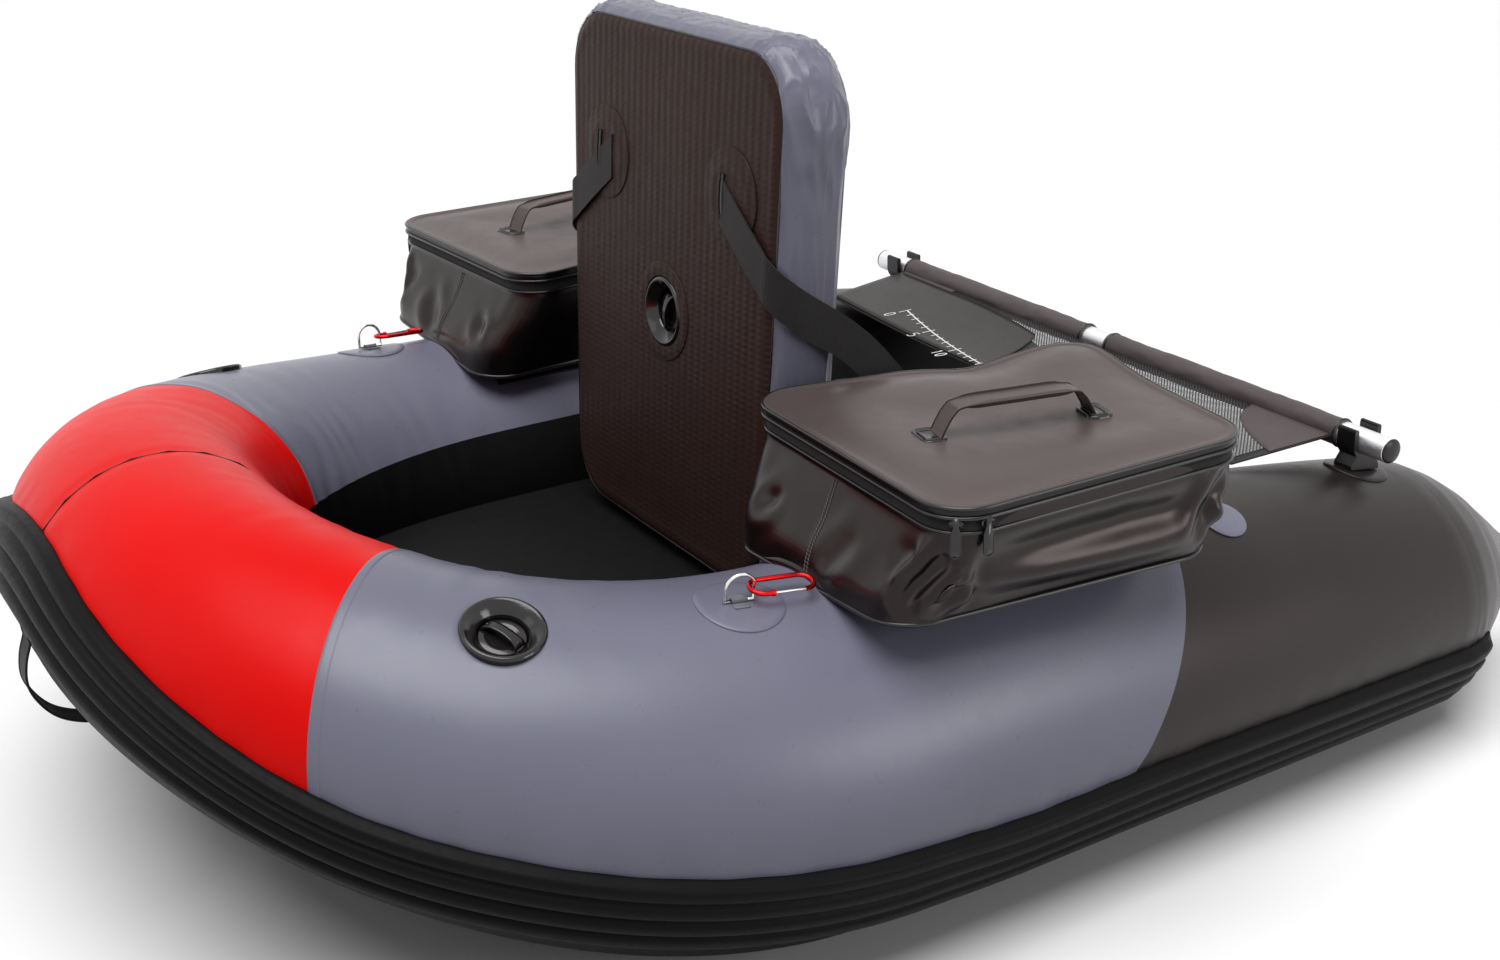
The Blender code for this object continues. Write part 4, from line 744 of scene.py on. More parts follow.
def strake_rows():
    places = spread(0, 1, 110) + spread(1, 2, 60)[1:] + spread(2, STRAKE_END, 10)[1:]
    rows = []
    for station in [-s for s in reversed(places[1:])] + places:
        top = strake_top(station)
        wide = STRAKE_WIDTH / spine(station)[1]
        end = ease(STRAKE_END - abs(station), -0.01, 0.05)
        row = []
        for across in spread(0, 1, 44):
            lift = STRAKE_THIN + (STRAKE_PROUD - STRAKE_THIN) * strake_proud(across) * (0.25 + 0.75 * end)
            row.append(on_tube(station, top - wide * across, lift))
        for across in spread(1, 0, 6):
            row.append(on_tube(station, top - wide * across, STRAKE_SUNK))
        rows.append(row)
    return rows


band = crease(closed_tube("strake_band", strake_rows()), 50)
piece(band, RUBBER, "hull", ("rubbing_strake",))
print("strake points", len(band.vertices))

# %% [markdown]
# ## Backrest
# The backrest is a drop-stitch slab: thousands of threads hold its two faces parallel, so under pressure
# it stays flat with a firm round edge. The black rear skin shows the rows of threads as fine upright ribs.
# The blue-grey skin wraps round the sides and the front. We loft insets of one rounded outline from the
# middle of the rear face, over the edge, to the middle of the front face, and split it in two where the
# colour changes.

# %% Rounded outlines
CORNER_STEPS = 10
EDGE_STEPS = 16


def inset_corners(corners, inset):
    moved = []
    count = len(corners)
    for k, corner in enumerate(corners):
        here = Vector(corner)
        before = (here - Vector(corners[k - 1])).normalized()
        after = (Vector(corners[(k + 1) % count]) - here).normalized()
        first = Vector((-before.y, before.x))
        second = Vector((-after.y, after.x))
        moved.append(here + inset * (first + second) / (1 + first.dot(second)))
    return moved


def rounded_outline(corners, radius, inset=0.0):
    """Anticlockwise outline with round corners and points along each edge."""
    corners = inset_corners(corners, inset)
    radius = max(radius - inset, radius / 8)
    arcs = []
    count = len(corners)
    for k, here in enumerate(corners):
        before = (corners[k - 1] - here).normalized()
        after = (corners[(k + 1) % count] - here).normalized()
        half_angle = before.angle(after) / 2
        middle = here + (before + after).normalized() * radius / math.sin(half_angle)
        start = here + before * radius / math.tan(half_angle) - middle
        sweep = math.pi - 2 * half_angle
        turns = [sweep * s / CORNER_STEPS for s in range(CORNER_STEPS + 1)]
        arcs.append([middle + Matrix.Rotation(turn, 2) @ start for turn in turns])
    outline = []
    for k, arc in enumerate(arcs):
        outline += arc
        far = arcs[(k + 1) % count][0]
        outline += [arc[-1].lerp(far, s / EDGE_STEPS) for s in range(1, EDGE_STEPS)]
    return outline


def flat_row(corners, radius, inset, level):
    return [Vector((*p, level)) for p in rounded_outline(corners, radius, inset)]


def toward_middle(row, share, level):
    """A smaller copy of a row, towards its middle."""
    middle = sum(row, Vector()) / len(row)
    shrunk = []
    for p in row:
        x, y = (m + (c - m) * share for m, c in zip(middle.xy, p.xy))
        shrunk.append(Vector((x, y, level)))
    return shrunk


print("outline points", 4 * (CORNER_STEPS + EDGE_STEPS))

# %% [markdown]
# One frame on the rear face places everything that sits on the backrest: the skins, the valve, the slot
# patches and the straps. Its Z axis points out of the face, so that height above the skin is one number.
# The slab's skin is then a list of outlines, each a little further in or lower down than the one before.

# %% Backrest sizes and place
SLAB = 0.080
SLAB_EDGE = 0.026
FLOOR_TOP = 0.200
TOUCH = 0.0003
BACK_TOP = 0.775
BACK_FOOT = 0.205
BACK_TOP_HALF = 0.226
BACK_FOOT_HALF = 0.208
BACK_CORNER = 0.075
BACK_LEAN = math.radians(3.6)
BACK_FACE_Y = 0.0438
FACE_SHARE = 0.30       # rows up to here lie on the flat face
EDGE_SHARE = 0.42       # from there up to here they go round the edge
SEAM_DIP = 0.0007
EDGE_SWELL = 0.0015


def backrest_frame(x, height, proud=0.0):
    """Frame on the rear face: X across, Y up the face, Z out of it towards the bow."""
    placed = Matrix.Rotation(math.pi / 2 - BACK_LEAN, 4, "X")
    face_y = BACK_FACE_Y + AFT + (height - BACK_FOOT) * math.tan(BACK_LEAN)
    placed.translation = Vector((x, face_y, height)) + placed.to_3x3() @ Vector((0, 0, proud))
    return placed


BACK_HEIGHT = BACK_TOP - BACK_FOOT
BACK_CORNERS = (
    (-BACK_FOOT_HALF, 0), (BACK_FOOT_HALF, 0),
    (BACK_TOP_HALF, BACK_HEIGHT), (-BACK_TOP_HALF, BACK_HEIGHT),
)


def slab_rows(corners, corner_radius, thick, edge, from_share, to_share, steps):
    """Rows of a slab's skin; 0 is the middle of the upper face, 1 the middle of the lower one."""
    outer = flat_row(corners, corner_radius, edge, 0)
    rows = []
    for share in spread(from_share, to_share, steps):
        low = share > 0.5
        half = 1 - share if low else share
        if half < FACE_SHARE:
            level = thick - SEAM_DIP * ease(half, 0.8 * FACE_SHARE, FACE_SHARE)
            row = toward_middle(outer, max(half / FACE_SHARE, 0.02), level)
        elif half < EDGE_SHARE:
            turn = (half - FACE_SHARE) / (EDGE_SHARE - FACE_SHARE) * math.pi / 2
            inset = edge * (1 - math.sin(turn))
            row = flat_row(corners, corner_radius, inset, thick - edge * (1 - math.cos(turn)))
        else:
            down = (half - EDGE_SHARE) / (0.5 - EDGE_SHARE)
            level = thick - edge - (thick / 2 - edge) * down
            row = flat_row(corners, corner_radius, -EDGE_SWELL * math.sin(down * math.pi / 2), level)
        if low:
            row = [Vector((p.x, p.y, thick - p.z)) for p in row]
        rows.append(row)
    return rows


def backrest_rows(from_share, to_share, steps):
    return slab_rows(BACK_CORNERS, BACK_CORNER, SLAB, SLAB_EDGE, from_share, to_share, steps)


SLAB_PLACE = backrest_frame(0, BACK_FOOT) @ Matrix.Translation((0, 0, -SLAB))
print("slab", round(2 * BACK_TOP_HALF, 3), "by", round(BACK_HEIGHT, 3), "m")

# %% [markdown]
# Even a taut skin isn't perfect. Noise along the normals leaves a slow unevenness, and noise that is
# stretched in one direction and folded into ridges gives the crumpled lines at the upper corners and round
# the narrow edge. The rear skin's ribs are too fine to model, so they are bump: rows of threads, with a
# knot at every stitch.

# %% Backrest skins
THREAD_ROW = 0.0130
THREAD_KNOT = 0.0065
COLOUR_SHARE = 0.345    # the share of the slab's rows at which black meets grey
WITHIN_EDGE = (0.022, 0.006)
BELOW_TOP = (0.026, 0.008)


def split_finely(mesh, cuts):
    """Split every face evenly, so that narrow folds have points to bend at."""
    shell = bmesh.new()
    shell.from_mesh(mesh)
    bmesh.ops.subdivide_edges(shell, edges=shell.edges, cuts=cuts, use_grid_fill=True)
    shell.to_mesh(mesh)
    shell.free()
    mesh.shade_smooth()
    return mesh


def crumple(mesh, height, size, seed=0.0, weight=None, ridged=False):
    """Push the points along their normals by a smooth noise, as fabric that isn't quite taut."""
    sizes = size if hasattr(size, "__len__") else (size,) * 3
    mesh.update()
    normals = [v.normal.copy() for v in mesh.vertices]
    for vertex, normal in zip(mesh.vertices, normals):
        place = Vector([c / s for c, s in zip(vertex.co, sizes)])
        value = noise.noise(place + Vector((seed, seed * 1.7, -seed)))
        if ridged:
            value = 1 - 2 * abs(value) ** 0.6
        amount = height * value
        if weight is not None:
            amount *= weight(vertex.co)
        vertex.co += normal * amount
    mesh.update()
    return mesh


def at_backrest(mesh):
    mesh.transform(SLAB_PLACE)
    return mesh


def drop_stitch_finish(name, colour):
    """Black rear skin, ribbed by the rows of inner threads."""
    f = Finish(name)
    f.tinted(colour, 0.6, 1.4, f.noise(5, 4))
    f.ranged(f.noise(90, 4), 0.42, 0.60)
    ribs = f.waves(THREAD_ROW, coordinates="Object")
    knots = f.waves(THREAD_KNOT, coordinates="Object", direction="Z")
    uneven = f.ranged(f.noise(26, 3), 0.1, 1.0, into=None)
    f.bump(f.math("MULTIPLY", ribs, uneven), 0.00042)
    f.bump(f.math("MULTIPLY", f.math("MULTIPLY", ribs, knots), uneven), 0.00045)
    f.bump(f.noise(40, 3), 0.0007)
    f.set(Specular_IOR_Level=0.14, Specular_Tint=(*WARM_SHEEN, 1))
    return f.material


RIBBED_BLACK = drop_stitch_finish("ribbed_rear_skin", (0.030, 0.0165, 0.0140))
rear_rows = backrest_rows(0, COLOUR_SHARE, 30)
side_rows = backrest_rows(COLOUR_SHARE, 1, 58)
rear = skin("backrest_rear_skin", rear_rows, around=True, hubs=[(0, hub_of(rear_rows[0]))])
side = skin("backrest_side_skin", side_rows, around=True, hubs=[(-1, hub_of(side_rows[-1]))])


def near_corner(point):
    """The side skin is slackest round the slab's upper corners."""
    return ease(point.z, 0.60, 0.70) * ease(abs(point.x), 0.12, 0.17)


def round_the_edge(point):
    """1 on the narrow band round the slab, 0 on the front face."""
    flare = BACK_TOP_HALF - BACK_FOOT_HALF
    wide = BACK_FOOT_HALF + flare * (point.z - BACK_FOOT) / BACK_HEIGHT
    sides = ease(abs(point.x), wide - WITHIN_EDGE[0], wide - WITHIN_EDGE[1])
    return max(sides, ease(point.z, BACK_TOP - BELOW_TOP[0], BACK_TOP - BELOW_TOP[1]))


crumple(split_finely(at_backrest(side), 2), 0.0012, 0.075, 4.0)
crumple(side, 0.0030, (0.020, 0.024, 0.060), 9.0, near_corner, ridged=True)
crumple(side, 0.0011, (0.012, 0.013, 0.110), 5.0, round_the_edge, ridged=True)
crumple(at_backrest(rear), 0.0006, 0.09, 2.0)
backrest_side = piece(side, GREY_FABRIC, "backrest", ("backrest_pad",))
backrest_rear = piece(rear, RIBBED_BLACK, "backrest")

# %% [markdown]
# A welded seam runs round the rear edge where black meets grey. It is a narrow flat lap, so a thin round
# bead set half into the skin gives the right shadow line at this scale.

# %% Backrest seams
FRONT_SEAM_SHARE = 0.655
SEAM_BEAD = 0.0011
FRONT_SEAM_BEAD = 0.0012


def round_line(name, runs, radius, sides=3, cyclic=False):
    """Curve of one or more runs of places, with a round section."""
    line = bpy.data.curves.new(name, "CURVE")
    line.dimensions = "3D"
    line.bevel_depth = radius
    line.bevel_resolution = sides
    line.use_fill_caps = True
    for places in runs:
        spline = line.splines.new("POLY")
        spline.points.add(len(places) - 1)
        for point, place in zip(spline.points, places):
            point.co = (*place, 1)
        spline.use_cyclic_u = cyclic
    return line


def bead(name, places, radius, finish, body="hull", cyclic=True):
    """Round bead along a row of points."""
    return piece(round_line(name, [places], radius, cyclic=cyclic), finish, body)


seam_row = [SLAB_PLACE @ p for p in side_rows[0]]
bead("backrest_seam", seam_row, SEAM_BEAD, PIPING_VINYL, "backrest")
front_row = backrest_rows(FRONT_SEAM_SHARE, FRONT_SEAM_SHARE, 1)[0]
bead("backrest_front_seam", [SLAB_PLACE @ p for p in front_row], FRONT_SEAM_BEAD, GREY_FABRIC, "backrest")
print("seam length", round(running_lengths(seam_row)[-1], 3))

# %% [markdown]
# ## Seat
# The seat is a soft inflated cushion on the floor, in front of the backrest. A cushion's shape comes from
# pressure against its skin, so we let Blender's cloth simulation blow up a slightly smaller slab, cap how
# far each point may move so that it stays clear of its neighbours, and press two welded channels in
# afterwards.

# %% Blow up the seat
SEAT_LENGTH = 0.325
SEAT_HALF_WIDTH = 0.200
SEAT_CORNER = 0.060
SEAT_EDGE = 0.024
SEAT_BACK_Y = -0.022427 + TOUCH
SEAT_SHRINK = 0.006     # the slab starts this much smaller, and swells back
SEAT_CAP = 0.0055
SEAT_VOXEL = 0.006
SEAT_PRESSURE = 4.0
SEAT_WELDS_Y = (0.075, 0.185)


def seat_shape():
    wide = SEAT_HALF_WIDTH - SEAT_SHRINK
    corners = (
        (-wide, SEAT_SHRINK), (wide, SEAT_SHRINK),
        (wide, SEAT_LENGTH - SEAT_SHRINK), (-wide, SEAT_LENGTH - SEAT_SHRINK),
    )
    seat = closed_tube("seat_pad", slab_rows(corners, SEAT_CORNER, SLAB - SEAT_SHRINK, SEAT_EDGE, 0, 1, 60))
    seat.transform(Matrix.Translation((0, SEAT_BACK_Y, FLOOR_TOP + TOUCH)))
    return seat


def evaluated(item):
    """An object's mesh with its modifiers applied, which are then taken off."""
    graph = bpy.context.evaluated_depsgraph_get()
    mesh = bpy.data.meshes.new_from_object(item.evaluated_get(graph), depsgraph=graph)
    item.modifiers.clear()
    return mesh


def blown_up(mesh, voxel, cap, frames=20):
    """The mesh after a pressure simulation, with no point further than the cap from where it began."""
    item = placed_object(mesh.name, mesh)
    remesh = item.modifiers.new("even_grid", "REMESH")
    remesh.mode = "VOXEL"
    remesh.voxel_size = voxel
    item.data = even = evaluated(item)
    start = [v.co.copy() for v in even.vertices]
    cloth = item.modifiers.new("air", "CLOTH")
    cloth.settings.use_pressure = True
    cloth.settings.uniform_pressure_force = SEAT_PRESSURE
    cloth.settings.effector_weights.gravity = 0
    cloth.point_cache.frame_start = 1
    cloth.point_cache.frame_end = frames
    for number in range(1, frames + 1):
        bpy.context.scene.frame_set(number)
    blown = evaluated(item)
    for vertex, before in zip(blown.vertices, start):
        move = vertex.co - before
        if move.length > cap:
            vertex.co = before + move * (cap / move.length)
    item.data = blown
    bpy.context.scene.frame_set(1)
    made = item.data
    bpy.data.objects.remove(item, do_unlink=True)
    made.shade_smooth()
    return made


def welded_channels(mesh, places_y, depth, width, middle_z):
    """Press straight welds into the upper face."""
    for vertex in mesh.vertices:
        above = ease(vertex.co.z, middle_z, middle_z + 0.02)
        reach = 1 - ease(abs(vertex.co.x), SEAT_HALF_WIDTH - 0.055, SEAT_HALF_WIDTH - 0.02)
        for y in places_y:
            vertex.co.z -= depth * bell(vertex.co.y, y, width) * above * reach
    return mesh


seat = blown_up(seat_shape(), SEAT_VOXEL, SEAT_CAP)
seat = welded_channels(seat, SEAT_WELDS_Y, depth=0.007, width=0.011, middle_z=FLOOR_TOP + SLAB / 2)
for vertex in seat.vertices:
    vertex.co.z = max(vertex.co.z, FLOOR_TOP + TOUCH)
seat.name = "seat_pad"
seat_pad = piece(seat, BLACK_FABRIC, "hull", ("seat_cushion",))
smoother = seat_pad.modifiers.new("finer", "SUBSURF")
smoother.levels = smoother.render_levels = 1
print("seat points", len(seat.vertices))

# %% [markdown]
# ## Air valves
# All the valves are one moulded design: a glossy dished flange let into the skin, and a screw-in cap whose
# thumb tab arches across the bowl. Round parts come from turning a profile about its axis, which gives
# true circles, and the tab is a strip bent over the bowl with softened edges.

# %% Turned parts
TURN_STEPS = 64


def rounded_profile(points, radius, steps=5):
    """Profile with its inner corners rounded."""
    path = [Vector(points[0])]
    for before, here, after in zip(points, points[1:], points[2:]):
        here = Vector(here)
        back = Vector(before) - here
        ahead = Vector(after) - here
        cut = min(radius, back.length * 0.48, ahead.length * 0.48)
        a = here + back.normalized() * cut
        b = here + ahead.normalized() * cut
        for s in range(steps + 1):
            t = s / steps
            path.append((1 - t) ** 2 * a + 2 * t * (1 - t) * here + t * t * b)
    path.append(Vector(points[-1]))
    return path


def lathe(name, profile, placed, closed=False):
    """Profile of (radius, height) points turned about Z of a frame."""
    profile = list(profile) + ([profile[0]] if closed else [])
    rows = []
    turns = [math.tau * k / TURN_STEPS for k in range(TURN_STEPS)]
    for radius, height in profile:
        rows.append([Vector((radius * math.cos(turn), radius * math.sin(turn), height)) for turn in turns])
    mesh = skin(name, rows, around=True)
    mesh.transform(placed)
    return crease(mesh, 40)


def step_at(path, k):
    """Direction of a path at one of its places, from its neighbours."""
    return path[min(k + 1, len(path) - 1)] - path[max(k - 1, 0)]


def share_of(sizes, k):
    return sizes[k] if hasattr(sizes, "__len__") else sizes


def strip_solid(name, path, normals, widths, depths, placed=None):
    """Strap-like solid along a path; the edges are rounded by a small bevel in its section."""
    rows = []
    for k, (place, normal) in enumerate(zip(path, normals)):
        run = step_at(path, k).normalized()
        normal = (normal - run * normal.dot(run)).normalized()
        across = run.cross(normal)
        half = share_of(widths, k) / 2
        deep = share_of(depths, k) / 2
        soft = min(deep, half) * 0.7
        row = []
        for sx, sz in ((1, 1), (-1, 1), (-1, -1), (1, -1)):
            turns = spread(0, math.pi / 2, 3)
            if sx * sz < 0:
                turns = turns[::-1]
            for turn in turns:
                dx = sx * (half - soft + soft * math.sin(turn))
                dz = sz * (deep - soft + soft * math.cos(turn))
                row.append((dx, dz))
        rows.append([place + across * dx + normal * dz for dx, dz in row])
    mesh = closed_tube(name, rows)
    if placed is not None:
        mesh.transform(placed)
    return crease(mesh, 60)


print("turned with", TURN_STEPS, "sides")

# %% [markdown]
# A valve's frame sits on the skin with its Z axis outwards, so one pair of functions makes all four
# valves. The seat's valve is the same moulding at a smaller size. The cap is a body of its own, because it
# turns. The skin behind each valve is pushed in a little, where the flange hides it, so that it can't show
# in the bowl.

# %% Valve bodies and caps
FLANGE_RADIUS = 0.037
FLANGE_PROUD = 0.003
BOWL_RADIUS = 0.0215
BOWL_DEPTH = 0.013
CAP_HEIGHT = 0.004
CAP_PLAY = 0.0009
TAB_HALF_WIDTH = 0.0045
TAB_RISE = 0.0095
SEAT_VALVE_SCALE = 0.56
FLIP = Matrix.Diagonal((-1, 1, 1, 1))


def valve_body(name, placed, size, node, body="hull"):
    flange = [
        (0, -BOWL_DEPTH), (BOWL_RADIUS, -BOWL_DEPTH), (BOWL_RADIUS + 0.0005, -0.006), (0.0285, -0.0002),
        (0.0325, 0.0026), (0.0345, FLANGE_PROUD), (FLANGE_RADIUS, 0.0012), (FLANGE_RADIUS, -0.0055),
    ]
    profile = [(r * size, h * size) for r, h in rounded_profile(flange, 0.0022)]
    piece(lathe(name, profile, placed), GLOSS_PLASTIC, body, (node,))


def valve_cap(name, placed, size, node, body):
    radius = BOWL_RADIUS - CAP_PLAY
    base = -BOWL_DEPTH + CAP_PLAY
    disc = [(0, base + 0.003), (0.0125, base + 0.0026), (0.0150, base + CAP_HEIGHT),
            (radius, base + 0.0030), (radius, base)]
    profile = [(r * size, h * size) for r, h in rounded_profile(disc, 0.0012)]
    piece(lathe(name, profile, placed), GLOSS_PLASTIC, body, (node,))
    path, normals, widths = [], [], []
    for turn in spread(0, math.pi, 20):
        reach = (radius - 0.0022) * math.cos(turn)
        path.append(Vector((reach, 0, base + 0.002 + TAB_RISE * math.sin(turn) ** 0.8)) * size)
        normals.append(Vector((math.cos(turn), 0, math.sin(turn) + 0.05)))
        widths.append((2 * TAB_HALF_WIDTH + 0.005 * (1 - math.sin(turn))) * size)
    tab = strip_solid(name + "_tab", path, normals, widths, 0.0026 * size, placed)
    piece(tab, GLOSS_PLASTIC, body)
    web = [Vector((reach, 0, base + 0.0055)) * size for reach in spread(-radius * 0.82, radius * 0.82, 8)]
    blade = strip_solid(name + "_blade", web, [UP] * len(web), 0.0022 * size, 0.006 * size, placed)
    piece(blade, GLOSS_PLASTIC, body)


def mirrored(placed, hand=-1):
    """A frame's place on the left, or unchanged for the right hand."""
    return FLIP @ placed @ FLIP if hand < 0 else placed


VALVE_FRAME = tube_frame(0.627, math.radians(70)) @ Matrix.Rotation(math.radians(57), 4, "Z")
BACK_VALVE_FRAME = backrest_frame(0, 0.472) @ Matrix.Rotation(math.radians(80), 4, "Z")
SEAT_VALVE_PLACE = (0.1, SEAT_BACK_Y + SEAT_LENGTH, 0.2403)
SEAT_VALVE_FRAME = Matrix.Translation(SEAT_VALVE_PLACE) @ Matrix.Rotation(-math.pi / 2, 4, "X")
for word, hand in SIDES:
    placed = mirrored(VALVE_FRAME, hand)
    valve_body(f"tube_valve_flange_{word}", placed, 1.0, f"tube_valve_{word}")
    valve_cap(f"tube_valve_twist_{word}", placed, 1.0, f"tube_valve_cap_{word}", f"tube_valve_cap_{word}")
valve_body("backrest_valve_flange", BACK_VALVE_FRAME, 1.0, "backrest_valve", "backrest")
valve_cap("backrest_valve_twist", BACK_VALVE_FRAME, 1.0, "backrest_valve_cap", "backrest_valve_cap")
valve_body("seat_valve_flange", SEAT_VALVE_FRAME, SEAT_VALVE_SCALE, "seat_valve")
valve_cap("seat_valve_twist", SEAT_VALVE_FRAME, SEAT_VALVE_SCALE, "seat_valve_cap", "seat_valve_cap")
valve_ring = [(0.0375, 0.0003), (0.0378, 0.0016), (0.046, 0.0017), (0.0525, 0.0013), (0.053, 0.0003)]
ring_mesh = lathe("backrest_valve_ring", rounded_profile(valve_ring, 0.0006), BACK_VALVE_FRAME)
piece(ring_mesh, RIBBED_BLACK, "backrest", ("backrest_valve_patch",))


def recess(item, placed, radius=0.034, depth=0.020):
    """The skin dips under a valve's bowl, out of sight below its flange."""
    back = placed.inverted()
    down = placed.to_3x3() @ Vector((0, 0, -1))
    for vertex in item.data.vertices:
        near = back @ vertex.co
        reach = math.hypot(near.x, near.y)
        if reach < radius and abs(near.z) < 0.03:
            vertex.co += down * depth * (1 - ease(reach, radius * 0.6, radius))


recess(bpy.data.objects["side_panel_right"], VALVE_FRAME)
recess(bpy.data.objects["side_panel_left"], mirrored(VALVE_FRAME))
recess(backrest_rear, BACK_VALVE_FRAME)
recess(seat_pad, SEAT_VALVE_FRAME, 0.019, 0.012)
print("valves at", [round(c, 3) for c in VALVE_FRAME.translation])

# %% [markdown]
# ## Webbing and its patches
# A strap leaves a welded patch on the rear of the backrest, crosses the face, turns round its edge and
# runs down to the inside of the tube. Webbing is modelled directly, because a simulation would lose its
# square edges. It crosses the fold joint between the backrest and the hull, so it rides on neither body.

# %% Straps
STRAP_WIDTH = 0.038
STRAP_THICK = 0.0018
STRAP_SLOPE = math.radians(36)
STRAP_START_X = 0.112
STRAP_START_HEIGHT = 0.616
STRAP_ANCHOR_Y = 0.305
STRAP_BOW = 0.0012
STRAP_KNOTS = ((0.2320, 0.150 + AFT, 0.475), (0.2440, 0.205 + AFT, 0.405), (0.2525, 0.255 + AFT, 0.335))
ANCHOR_DEGREES = (150, 156, 162)
CURVE_STEPS = 8


def catmull(points, steps):
    """Smooth curve through points, with some steps between each pair."""
    places = [Vector(p) for p in points]
    ends = [2 * places[0] - places[1]] + places + [2 * places[-1] - places[-2]]
    path = []
    for k in range(1, len(ends) - 2):
        a, b, c, d = ends[k - 1:k + 3]
        for step in range(steps):
            t = step / steps
            path.append(0.5 * (2 * b + (c - a) * t + (2 * a - 5 * b + 4 * c - d) * t * t
                               + (3 * b - a - 3 * c + d) * t ** 3))
    path.append(places[-1])
    return path


def strap_rows():
    """Sections of the strap on the right, from the slot to the tube."""
    proud = 0.0015 + 2 * TOUCH + STRAP_THICK / 2
    face = backrest_frame(0, STRAP_START_HEIGHT)
    upright = Vector((0, STRAP_WIDTH / 2 / math.cos(STRAP_SLOPE), 0))
    up_share = (STRAP_START_HEIGHT - BACK_FOOT) / BACK_HEIGHT
    edge_x = BACK_FOOT_HALF + (BACK_TOP_HALF - BACK_FOOT_HALF) * up_share - SLAB_EDGE
    fall = math.tan(STRAP_SLOPE)
    rows = []

    def section(place, half_side, normal):
        deep = STRAP_THICK / 2 * normal.normalized()
        rows.append([place + half_side + deep, place - half_side + deep, place - half_side - deep,
                     place + half_side - deep])

    for x in spread(STRAP_START_X, edge_x, 10):
        bow = STRAP_BOW * math.sin((x - STRAP_START_X) / (edge_x - STRAP_START_X) * math.pi)
        section(Vector((x, (STRAP_START_X - x) * fall, proud + bow)), upright, UP)
    flat = [[face @ p for p in row] for row in rows]
    rows.clear()
    bend = SLAB_EDGE + proud + 0.0008
    for turn in spread(0, math.pi / 2, 12)[1:]:
        x = edge_x + bend * math.sin(turn)
        drop = (edge_x - STRAP_START_X + bend * turn) * fall
        place = Vector((x, -drop, bend * math.cos(turn) - SLAB_EDGE))
        section(place, upright, Vector((math.sin(turn), 0, math.cos(turn))))
    wrap = [[face @ p for p in row] for row in rows]
    rows.clear()
    points = [hub_of(wrap[-1])] + [Vector(knot) for knot in STRAP_KNOTS]
    sides = [Vector((1, 0, 0))] * 3 + [Vector((1, 0, -0.25))]
    for k, degrees in enumerate(ANCHOR_DEGREES):
        station, angle = station_at(STRAP_ANCHOR_Y + k * STRAP_WIDTH / 3), math.radians(degrees)
        points.append(on_tube(station, angle, GLUE + STRAP_THICK / 2))
        sides.append(on_tube(station, angle) - on_tube(station, angle, 1))
    path = catmull(points, CURVE_STEPS)
    for k, place in enumerate(path[1:], 1):
        span = min(k / CURVE_STEPS, len(sides) - 1.001)
        normal = sides[int(span)].lerp(sides[int(span) + 1], span - int(span))
        run = step_at(path, k).normalized()
        normal = (normal - run * normal.dot(run)).normalized()
        blend = ease(k, 0, 10)
        side_way = (face.to_3x3() @ upright) * (1 - blend) + normal.cross(run) * STRAP_WIDTH / 2 * blend
        side_way = side_way - normal * side_way.dot(normal)
        section(place, side_way.normalized() * side_way.length, normal)
    return flat + wrap + rows


right_rows = strap_rows()
for word, hand in SIDES:
    strap = crease(closed_tube(f"backrest_webbing_{word}", [handed(row, hand) for row in right_rows]), 50)
    webbing = piece(strap, WEBBING_BLACK, None, (f"backrest_strap_{word}",))
    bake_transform(webbing)
print("strap sections", len(right_rows))

# %% [markdown]
# Each strap comes out of a slot in a round welded patch. The patch is a low turned disc that swells where
# the webbing passes under it, and the slot's folded lip is a short strip on top.

# %% Welded slot patches
SLOT_FRAME = backrest_frame(0.128, 0.618)
SLOT_RINGS = (
    (0.050, 0.0003), (0.0495, 0.0013), (0.047, 0.0017), (0.036, 0.0015), (0.034, 0.0021), (0.031, 0.0016),
    (0, 0.0016),
)
SLOT_SWELL = 0.0022
LIP_WIDTH = 0.0065
LIP_THICK = 0.0026


def slot_disc(word, placed):
    disc = lathe(f"slot_disc_{word}", SLOT_RINGS, Matrix.Identity(4))
    for vertex in disc.vertices:
        vertex.co.x *= 0.98
        vertex.co.z += SLOT_SWELL * bell(vertex.co.x, 0.0, 0.02) * bell(vertex.co.y, 0.004, 0.016)
    disc.transform(placed)
    piece(disc, RIBBED_BLACK, "backrest", (f"slot_patch_{word}",))


def slot_lip(word, placed):
    """Folded lip of the slot that the strap comes out of."""
    path = []
    for t in spread(0, 1, 10):
        path.append(Vector((-0.011, 0.022 - 0.046 * t, 0.0032 + 0.0012 * math.sin(math.pi * t))))
    lip = strip_solid(f"slot_lip_{word}", path, [UP] * len(path), LIP_WIDTH, LIP_THICK, placed)
    piece(lip, PIPING_VINYL, "backrest")


for word, hand in SIDES:
    slot_disc(word, mirrored(SLOT_FRAME, hand))
    slot_lip(word, mirrored(SLOT_FRAME, hand))
print("slot patch at", [round(c, 3) for c in SLOT_FRAME.translation])

# %% [markdown]
# ## Patches, tie rings and carabiners on the tube
# The round glued patches follow the tube's curve, so they are laid out as small polar grids on the skin.
# The ring and the carabiner are bent wire: a curve with a round bevel is the simplest honest way to make
# them.

